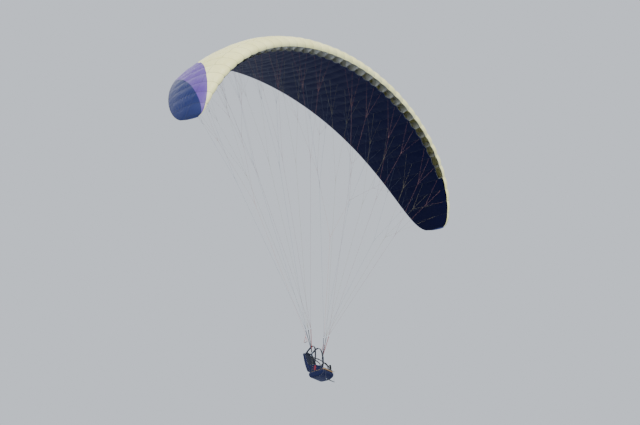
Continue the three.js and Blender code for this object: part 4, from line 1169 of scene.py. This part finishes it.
for side, side_name in sides:
    foot = np.array((side * hang_half, 0, harness_z - strap_foot_drop))
    over = arc(carabiner_centre(side) - (0, 0, over_drop), over_radius, x_axis, z_axis,
               np.linspace(0, pi, 13))
    straps, slides = Sewing(), Sewing()
    straps.band([foot + (loop_half, 0, -strap_cover_fall), *over, foot - (loop_half, 0, strap_cover_fall)],
                strap_width, strap_loop_thick, y_axis)
    straps.band(straight(foot, z_axis, strap_cover_ends), strap_cover_width, strap_cover_thick, y_axis,
                sizes=[0.75, 1, 1, 0.8])
    for knee_y, knee_z, end_y in strap_legs:
        knee = np.array((side * wall_x, knee_y, harness_z + knee_z))
        end = np.array((side * wall_x, end_y, harness_z - strap_end_drop))
        leg = knee - foot
        path = [foot, foot + leg * 0.5, foot + leg * 0.88, knee + (end - knee) * 0.15, end]
        straps.band(smooth(path), strap_width, strap_thick, y_axis)
        on_strap, along = foot + leg * 0.45, unit(leg)
        wide = unit(y_axis - along * along[1])
        add_slide(slides, on_strap, wide, along, strap_width + slide_past, slide_height)
        tail = [on_strap + along * up + (side * out, 0, 0) for up, out in tail_run]
        straps.band(tail, tail_width, tail_thick, wide)
    fit(straps.make(f"main_strap_webbing_{side_name}", main_webbing),
        "harness", "webbing", f"main_strap_{side_name}")
    fit(slides.make(f"main_strap_slides_{side_name}", buckle_steel), "harness", "steel")


# Seat and protector
# A foam seat pad in dark cloth lies on a plywood board. Under the board hangs a thick foam
# protector in a sewn cover, and a padded side panel stands up at each side.
pack, pack_in = new_group("pack_cloth", ["Colour"], ["Weave"])
thread = pack.split(pack_in["Place"])
slanted = pack.plus(thread[0], pack.times(thread[2], 0.4))
weave = pack.crossing(slanted, pack.plus(thread[1], thread[2]), pack_in["Weave"], 0.05, 0.3)
dusty = pack.noise(pack_in["Place"], 9.0, 5.0)
creases = pack.noise(pack_in["Place"], 42.0, 4.0)
# Between the threads the cloth is darkened: painted shade in the weave's gaps.
weave_gap_shade, dust = pack.times(pack.less(1.0, weave), 0.35), pack.times(pack.step(dusty, 0.5, 0.85), 0.12)
pack_colour = pack.mix(weave_gap_shade, pack_in["Colour"], (0.004, 0.005, 0.012, 1.0))
pack_colour = pack.mix(dust, pack_colour, (0.12, 0.11, 0.1, 1.0))
pack_rough = pack.plus(pack.times(dusty, 0.2), 0.6)
pack_bumps = pack.plus(pack.times(weave, 0.0003), pack.times(creases, 0.0022))
finish_group(pack, pack_colour, pack_rough, pack_bumps)


def pack_material(name, code, weave_pitch=0.0014):
    values = {"Colour": tone(code), "Weave": weave_pitch}
    return new_material(name, pack, values, sheen=0.04, shine=0.2, uv=False)


def blown_pad(name, node, material, finish, seams, smaller, voxel, most, seam_depth=0.004):
    """A pad of the harness, made of a solid's shape as a cover that is filled.

    The shape is drawn in by smaller, sewn down along its seams and blown up as cloth, by no more than
    most. Each seam is a function that says how far from it some points are.
    """
    piece = bpy.data.objects.new(name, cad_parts[node].data.copy())
    bpy.context.scene.collection.objects.link(piece)
    remesh = piece.modifiers.new("even", "REMESH")
    remesh.mode = "VOXEL"
    remesh.voxel_size = voxel

    def applied():
        shown = piece.evaluated_get(bpy.context.evaluated_depsgraph_get())
        piece.data = bpy.data.meshes.new_from_object(shown)
        piece.modifiers.clear()

    def read(attribute="co"):
        values = np.empty(len(piece.data.vertices) * 3)
        piece.data.vertices.foreach_get(attribute, values)
        return values.reshape(-1, 3)

    applied()
    at, normal = read(), read("normal")
    sewn = np.zeros(len(at))
    for seam in seams:
        sewn = np.maximum(sewn, np.exp(-(seam(at) / (voxel * 0.9)) ** 2))
    at = at - normal * (smaller + seam_depth * sewn)[:, None]
    piece.data.vertices.foreach_set("co", at.ravel())
    held = piece.vertex_groups.new(name="sewn")
    for i in np.nonzero(sewn > 0.5)[0]:
        held.add([int(i)], 1.0, "REPLACE")
    cloth = piece.modifiers.new("blown", "CLOTH").settings
    cloth.use_pressure = True
    cloth.uniform_pressure_force = 4
    cloth.effector_weights.gravity = 0
    cloth.quality = 4
    cloth.vertex_group_mass = "sewn"
    for step in range(1, 21):
        bpy.context.scene.frame_set(step)
    applied()
    moved = read() - at
    far = np.linalg.norm(moved, axis=1, keepdims=True)
    at = at + moved * np.minimum(1, most / np.maximum(far, 1e-9))
    piece.data.vertices.foreach_set("co", at.ravel())
    bpy.context.scene.frame_set(1)
    finer = piece.modifiers.new("finer", "SUBSURF")
    finer.levels = finer.render_levels = 1
    applied()
    piece.data.materials.clear()
    piece.data.materials.append(material)
    piece.data.shade_smooth()
    return fit(piece, "harness", finish, node)


def long_seam(x):
    """A seam from front to rear, x out from the middle."""
    return lambda p: np.abs(p[:, 0] - x)


stitch_step = 0.012


def evenly(path, step):
    """A closed path's points spread evenly, about a step apart."""
    around = np.concatenate([path, path[:1]])
    lengths = np.concatenate([[0], np.cumsum(np.linalg.norm(np.diff(around, axis=0), axis=1))])
    at = np.linspace(0, lengths[-1], int(lengths[-1] / step) + 1)[:-1]
    return np.stack([np.interp(at, lengths, around[:, i]) for i in range(3)], axis=1)


def add_piping(name, pad, outlines, centre, across, up, radius, finish):
    """Corded edges sewn round a pad of the harness; each outline is drawn in to the pad's cloth."""
    mesh = pad.data
    cloth_tree = BVHTree.FromPolygons([v.co for v in mesh.vertices], [f.vertices for f in mesh.polygons])
    piping = Sewing()
    for outline, shift in outlines:
        drawn = []
        for point in evenly(placed(outline, np.asarray(centre) + shift, across, up), stitch_step):
            nearest, normal = cloth_tree.find_nearest(Vector(point))[:2]
            drawn.append(np.array(nearest + normal * radius * 0.35))
        drawn = np.array(drawn)
        for smoothing in range(2):
            drawn = (np.roll(drawn, 1, axis=0) + 2 * drawn + np.roll(drawn, -1, axis=0)) / 4
        piping.wire(drawn, radius, closed=True)
    fit(piping.make(name, piping_tape), "harness", finish)


pad_cloth = pack_material("pad_cloth", "161c2e", 0.0022)
shell_cloth = pack_material("shell_cloth", "04103c")
piping_tape = webbing_material("piping_tape", "2b3042", 0.006)
seat_pad_top, seat_pad_thick, board_thick, rest_gap = harness_z - 0.430, 0.025, 0.012, 0.0003


def seat_seam(y):
    """A channel across the seat pad that ends short of its edges."""
    return lambda p: np.abs(p[:, 1] - y) + (np.abs(p[:, 0]) > seat_half - 0.02)


seat_cushion = blown_pad("seat_cushion", "seat_pad", pad_cloth, "pad_cloth",
                         [seat_seam(y) for y in (-0.265, -0.185, -0.105, -0.025)],
                         smaller=0.004, voxel=0.006, most=0.009)
seat_plan = [(-seat_half, seat_front, 0.045), (seat_half, seat_front, 0.045),
             (seat_half, seat_back, 0.015), (-seat_half, seat_back, 0.015)]
seat_outline = rounded([(x * 0.985, y * 0.99 - 0.002, r) for x, y, r in seat_plan], 7)
add_piping("seat_piping", seat_cushion, [(seat_outline, (0, 0, z)) for z in (-0.004, -0.021)],
           (0, 0, seat_pad_top), x_axis, y_axis, 0.0022, "pad_cloth")

plywood, plywood_in = new_group("birch_plywood", ["Colour"])
layers = plywood.step(plywood.gap(plywood.split(plywood_in["Place"])[2], 0.003), 0.0004, 0.0009)
fibres = plywood.noise(plywood.stretch(plywood_in["Place"], (40.0, 6.0, 40.0)), 6.0, 6.0)
board_colour = plywood.mix(plywood.step(fibres, 0.3, 0.7), plywood_in["Colour"], (0.36, 0.22, 0.1, 1.0))
board_colour = plywood.mix(plywood.times(layers, 0.3), board_colour, (0.12, 0.06, 0.03, 1.0))
board_rough = plywood.plus(plywood.times(fibres, 0.2), 0.45)
finish_group(plywood, board_colour, board_rough, plywood.times(fibres, 0.0002))
board_material = new_material("board_plywood", plywood, {"Colour": tone("c9a06a")}, uv=False)
seat_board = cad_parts["seat_board"]
for i in range(len(seat_board.material_slots)):
    seat_board.material_slots[i].material = board_material
if not seat_board.material_slots:
    seat_board.data.materials.append(board_material)

shell_top = seat_pad_top - seat_pad_thick - board_thick - 2 * rest_gap
shell_half, shell_low, shell_seam = 0.195, shell_top - 0.175, 0.105
shell_side = [
    (seat_front + 0.004, shell_top, 0.040), (seat_back + 0.080, shell_top, 0.040),
    (seat_back + 0.092, shell_top - 0.090, 0.045), (seat_back + 0.010, shell_low + 0.008, 0.060),
    (seat_front + 0.120, shell_low, 0.080), (seat_front - 0.006, shell_top - 0.105, 0.055),
]
protector = blown_pad("protector_shell", "seat_protector", shell_cloth, "harness_cloth",
                      [long_seam(x) for x in (-shell_seam, shell_seam)],
                      smaller=0.004, voxel=0.009, most=0.008, seam_depth=0.005)
add_piping("protector_piping", protector,
           [(rounded(shell_side, 8), (x, 0, 0)) for x in (-shell_half + 0.004, shell_half - 0.004)],
           (0, 0, 0), y_axis, z_axis, 0.0028, "harness_cloth")

board_foot = shell_top + rest_gap
panel_side = [
    (seat_front + 0.025, board_foot, 0.012), (seat_back + 0.070, board_foot, 0.020),
    (seat_back + 0.110, board_foot + 0.185, 0.030), (seat_back - 0.060, board_foot + 0.170, 0.060),
    (seat_front + 0.045, board_foot + 0.075, 0.030),
]


def panel_seam(points):
    """One seam that rises to the rear along each side panel."""
    return np.abs(points[:, 2] - board_foot - 0.055 - 0.28 * (points[:, 1] - seat_front - 0.1))


for side, side_name in sides:
    side_cloth = blown_pad(f"side_cloth_{side_name}", f"side_panel_{side_name}", shell_cloth,
                           "harness_cloth", [panel_seam],
                           smaller=0.0015, voxel=0.005, most=0.004, seam_depth=0.001)
    add_piping(f"side_piping_{side_name}", side_cloth, [(rounded(panel_side, 7), (0, 0, 0))],
               (side * 0.1853, 0, 0), y_axis, z_axis, 0.0032, "harness_cloth")


# Back
# The back pad is quilted foam in dark cloth. Behind it is a blue pack for the gear, with two zips
# down its rear face.
recline = radians(22)
back_up = np.array((0, sin(recline), cos(recline)))
back_out = np.array((0, cos(recline), -sin(recline)))
back_foot = np.array((0, seat_back - 0.0027, harness_z - 0.450))
back_length, back_thick = 0.600, 0.035
pack_thick, pack_top_thick, pack_front = 0.105, 0.060, back_thick + rest_gap


def up_back(points):
    return (points - back_foot) @ back_up


def quilt_seam(up):
    """A seam across the back pad that rises from its middle to both sides."""
    return lambda p: np.abs(up_back(p) - up - 0.25 * np.abs(p[:, 0]))


def rear_seam(off):
    """A seam on the pack's rear face, where off says how far from it points are."""
    return lambda p: np.abs(off(p)) + ((p - back_foot) @ back_out < 0.06)


blown_pad("back_cushion", "back_pad", pad_cloth, "pad_cloth",
          [quilt_seam(up) for up in (0.06, 0.17, 0.28, 0.39, 0.50)],
          smaller=0.004, voxel=0.007, most=0.010)
back_bag = blown_pad("back_bag", "back_pack", shell_cloth, "harness_cloth",
                     [rear_seam(lambda p: np.abs(p[:, 0]) - 0.118), rear_seam(lambda p: up_back(p) - 0.33)],
                     smaller=0.006, voxel=0.009, most=0.012)
pack_side = [
    (pack_front, 0.045, 0.030), (back_thick + pack_thick, 0.060, 0.045),
    (back_thick + pack_thick, 0.250, 0.090), (back_thick + pack_top_thick, back_length - 0.015, 0.030),
    (pack_front, back_length - 0.005, 0.028),
]
add_piping("back_bag_piping", back_bag, [(rounded(pack_side, 8), (x, 0, 0)) for x in (-0.152, 0.152)],
           back_foot, back_out, back_up, 0.0028, "harness_cloth")
zip_width, zip_thick, zip_off = 0.016, 0.003, 0.075
zips = Sewing()
# How far out from the pad and how far up the zips' middles run.
zip_line = [(0.1042, 0.10), (0.1052, 0.16), (0.1042, 0.24), (0.094, 0.33), (0.0835, 0.42), (0.072, 0.51)]
zip_path = placed([(back_thick + out, up) for out, up in zip_line], back_foot, back_out, back_up)
for x in (-zip_off, zip_off):
    zips.band(smooth(zip_path + (x, 0, 0)), zip_width, zip_thick, x_axis)
zip_tape = webbing_material("zip_tape", "0b0d12", zip_width + zip_thick)
fit(zips.make("back_bag_zips", zip_tape), "harness", "webbing")


# Shoulder straps
# Two padded straps run from the top of the back pad over the shoulders and back to the pad at the
# hip. A narrow webbing with a slide is sewn along each.
shoulder_width, shoulder_thick = 0.050, 0.012
# Half a strap's route in millimetres from the carabiners' line: outwards, back and up.
shoulder_route = [(92, 118, 185), (100, 53, 200), (112, -7, 160), (126, -42, 70), (140, -57, -60),
                  (149, -59, -180), (149, -37, -280)]
shoulder_webbing = webbing_material("shoulder_webbing", "10131a", 0.024)
soft_turns = full_turn(24)
soft_profile = np.stack([
    shoulder_width / 2 * np.sign(np.cos(soft_turns)) * np.abs(np.cos(soft_turns)) ** 0.35,
    shoulder_thick / 2 * np.sign(np.sin(soft_turns)) * np.abs(np.sin(soft_turns)) ** 0.8], axis=1)
shoulder_web_width, shoulder_web_thick, slide_at = 0.022, 0.0018, 24
sewn_part = slice(9, 40)


def back_point(x, up, out):
    return back_foot + (x, 0, 0) + back_up * up + back_out * out


for side, side_name in sides:
    flat_on = -shoulder_thick / 2 - rest_gap
    path = np.array([
        back_point(side * 0.085, back_length - 0.090, flat_on),
        back_point(side * 0.088, back_length - 0.010, flat_on - 0.003),
        *smooth([(side * x / 1000, y / 1000, harness_z + z / 1000) for x, y, z in shoulder_route], 6),
        back_point(side * 0.146, 0.095, flat_on - 0.012), back_point(side * 0.140, 0.045, flat_on)])
    quilted = 0.88 + 0.12 * np.abs(np.sin(np.arange(len(path)) * pi / 6))
    strap, web, slide = Sewing(), Sewing(), Sewing()
    strap.sweep(path, soft_profile, x_axis, sizes=0.96 + 0.04 * quilted)
    strap_piece = strap.make(f"shoulder_pad_{side_name}", pad_cloth, 75)
    fit(strap_piece, "harness", "pad_cloth", f"shoulder_strap_{side_name}")
    ahead = np.gradient(path, axis=0)
    front = unit(np.cross(ahead, x_axis))
    front *= np.where(front[:, 1:2] > 0, -1, 1)
    web.band((path + front * (shoulder_thick / 2 + 0.0012))[sewn_part],
             shoulder_web_width, shoulder_web_thick, x_axis)
    fit(web.make(f"shoulder_web_{side_name}", shoulder_webbing), "harness", "webbing")
    on_web = path[slide_at] + front[slide_at] * (shoulder_thick / 2 + 0.004)
    add_slide(slide, on_web, x_axis, unit(ahead[slide_at]), 0.028, 0.024, 0.0018)
    fit(slide.make(f"shoulder_slide_{side_name}", buckle_steel), "harness", "steel")


# Chest strap
# A short webbing strap joins the two main straps in front of the chest. It closes with a moulded
# plastic buckle.
buckle_plastic = moulded_material("buckle_plastic", "15171b", 1400.0, 0.4)
chest_z, chest_front = harness_z - 0.118, -0.030
# Round the main strap's cover and back on itself: how far outwards of the cover, how far back.
round_cover = [(-0.042, -0.0105), (-0.024, -0.0120), (-0.010, -0.0168), (0, -0.0182), (0.0070, -0.0165),
               (0.0093, -0.0080), (0.0093, 0.0080), (0.0070, 0.0165), (0, 0.0182), (-0.009, 0.0140),
               (-0.017, 0.0005), (-0.028, -0.0070), (-0.046, -0.0066)]
chest_side = [(0.10, -0.020)] + [(hang_half + x, y) for x, y in round_cover]
chest_route = [(-x, y) for x, y in reversed(chest_side)] + [(0, chest_front)] + chest_side
chest_path = smooth([(x, y, chest_z) for x, y in chest_route])
tail_from = 5 * len(chest_side) + 2
chest = Sewing()
chest.band(chest_path, strap_width, strap_thick, z_axis)
chest.band(chest_path[tail_from:tail_from + 6] + (0, -0.0035, 0), tail_width, tail_thick, z_axis)
fit(chest.make("chest_strap_webbing", main_webbing), "harness", "webbing", "chest_strap")
buckle_steps = (-0.030, -0.027, -0.012, -0.0105, -0.009, 0.009, 0.0105, 0.012, 0.027, 0.030)
buckle_middle, buckle_width, buckle_thick = np.array((0, chest_front, chest_z)), 0.034, 0.011
buckle = Sewing()
buckle.band(straight(buckle_middle, x_axis, buckle_steps), buckle_width, buckle_thick, z_axis,
            sizes=[0.72, 0.9, 1, 0.9, 0.86, 0.86, 0.9, 1, 0.9, 0.72])
for z in (-0.0165, 0.0165):
    buckle.band(straight(buckle_middle + (0, 0, z), x_axis, (-0.007, -0.005, 0.005, 0.007)), 0.005, 0.006,
                z_axis, sizes=[0.6, 1, 1, 0.6])
fit(buckle.make("chest_buckle", buckle_plastic), "harness", "webbing", "chest_strap")


# Leg straps
# Wide webbing runs from the seat's front edge up between the legs, over each thigh and down to the
# side panel. Each closes with a moulded buckle.
leg_width, leg_thick = 0.040, 0.005
# Each point in millimetres from the seat's front edge, and which way the webbing's width lies there.
leg_route = [(28, -3.5, -21, 1, 0), (29, -3.5, 0, 1, 0), (31, -3, 24, 1, 0.1), (42, 14, 75, 1, 0.6),
             (68, 34, 114, 0.4, 1), (105, 48, 130, 0, 1), (145, 62, 110, 0, 1), (176, 80, 52, 0, 1)]
leg_webbing = webbing_material("leg_webbing", "161a22", leg_width + leg_thick)
clasp_at = slice(38, 46)

for side, side_name in sides:
    path = smooth([(side * x / 1000, seat_front + y / 1000, seat_pad_top + z / 1000)
                   for x, y, z, a, b in leg_route], 8)
    across = smooth([(side * a, b, 0) for x, y, z, a, b in leg_route], 8)
    leg, clasp = Sewing(), Sewing()
    leg.band(path, leg_width, leg_thick, across)
    fit(leg.make(f"leg_strap_webbing_{side_name}", leg_webbing),
        "harness", "webbing", f"leg_strap_{side_name}")
    clasp.band(path[clasp_at], leg_width + 0.006, buckle_thick, across[clasp_at],
               sizes=[0.75, 0.95, 1, 0.92, 0.92, 1, 0.95, 0.75])
    fit(clasp.make(f"leg_buckle_{side_name}", buckle_plastic), "harness", "webbing")


# Rescue handle
# A red webbing loop on the right side panel pulls out the rescue parachute that is packed behind
# the panel.
handle_webbing = webbing_material("handle_webbing", "c02a22", 0.016)
handle_middle, handle_bend, handle_half = (-0.1966, -0.090, harness_z - 0.400), 0.022, 0.030
handle_thick = 0.0105
handle_path = placed(oval(handle_half, handle_bend, 11), handle_middle, y_axis, z_axis)
handle = Sewing()
handle.band(handle_path, handle_thick, handle_thick, x_axis, closed=True)
fit(handle.make("rescue_handle_webbing", handle_webbing), "harness", "handle", "rescue_handle")


# Speed bar
# An aluminium tube that the feet push hangs on two thin cords from the lugs of the seat board. It
# has a rubber sleeve and end caps.
speed_y, speed_z, speed_drop = seat_front - 0.035, -7.8113, 0.260
speed_half, speed_radius, cap_radius, speed_cord = 0.160, 0.009, 0.010, 0.002
lug_loop, lug_knot_drop, lug_inset, sleeve_half, sleeve_thick = 0.006, 0.010, 0.008, 0.118, 0.0016
wrap_radius, wrap_lift, wrap_half, wrap_steps = 0.0018, 0.0015, 0.005, 41
bar_metal = metal_material("bar_alloy", "a7adb5", 0.28)
bar_rubber = moulded_material("bar_rubber", "1c1d20", 500.0, 0.7)
cord_black = cord_material("speed_cord", "3a3d44")
bar_middle = np.array((0, speed_y, speed_z - speed_drop))
bar, sleeve, cords = Sewing(), Sewing(), Sewing()
bar_steps = (-speed_half, -speed_half + 0.002, speed_half - 0.002, speed_half)
bar.wire(straight(bar_middle, x_axis, bar_steps), speed_radius, 24, sizes=[0.85, 1, 1, 0.85])
fit(bar.make("speed_bar_tube", bar_metal), "speed_bar", "alloy", "speed_bar")
sleeve.wire(straight(bar_middle, x_axis, np.linspace(-sleeve_half, sleeve_half, 60)),
            speed_radius + sleeve_thick, 24, sizes=np.where(np.arange(60) % 4 == 0, 0.93, 1.0))
for side in (-1, 1):
    end = bar_middle + (side * speed_half, 0, 0)
    sleeve.wire(straight(end, side * x_axis, (-0.006, -0.004, 0.001, 0.003)), cap_radius, 24,
                sizes=[0.95, 1, 1, 0.8])
fit(sleeve.make("speed_bar_sleeve", bar_rubber), "speed_bar", "alloy", "speed_bar")
for side in (-1, 1):
    top = np.array((side * (speed_half - lug_inset), speed_y, speed_z))
    cords.wire(arc(top, lug_loop, y_axis, z_axis, full_turn(16)), speed_cord, closed=True)
    add_knot(cords, top - (0, 0, lug_knot_drop), *cord_knot)
    drops = (0.006, 0.05, 0.051, speed_drop - 0.03, speed_drop - 0.029, speed_drop)
    cords.wire(straight(top, -z_axis, drops), speed_cord, sizes=[1.25, 1.25, 1, 1, 1.25, 1.25])
    wraps = np.linspace(0, 5 * pi, wrap_steps)
    wrapped = arc(top - (0, 0, speed_drop), speed_radius + wrap_lift, y_axis, z_axis, wraps)
    wrapped[:, 0] += np.linspace(-wrap_half, wrap_half, wrap_steps)
    cords.wire(wrapped, wrap_radius, 6)
fit(cords.make("speed_bar_cords", cord_black), "speed_bar", "line", "speed_bar")
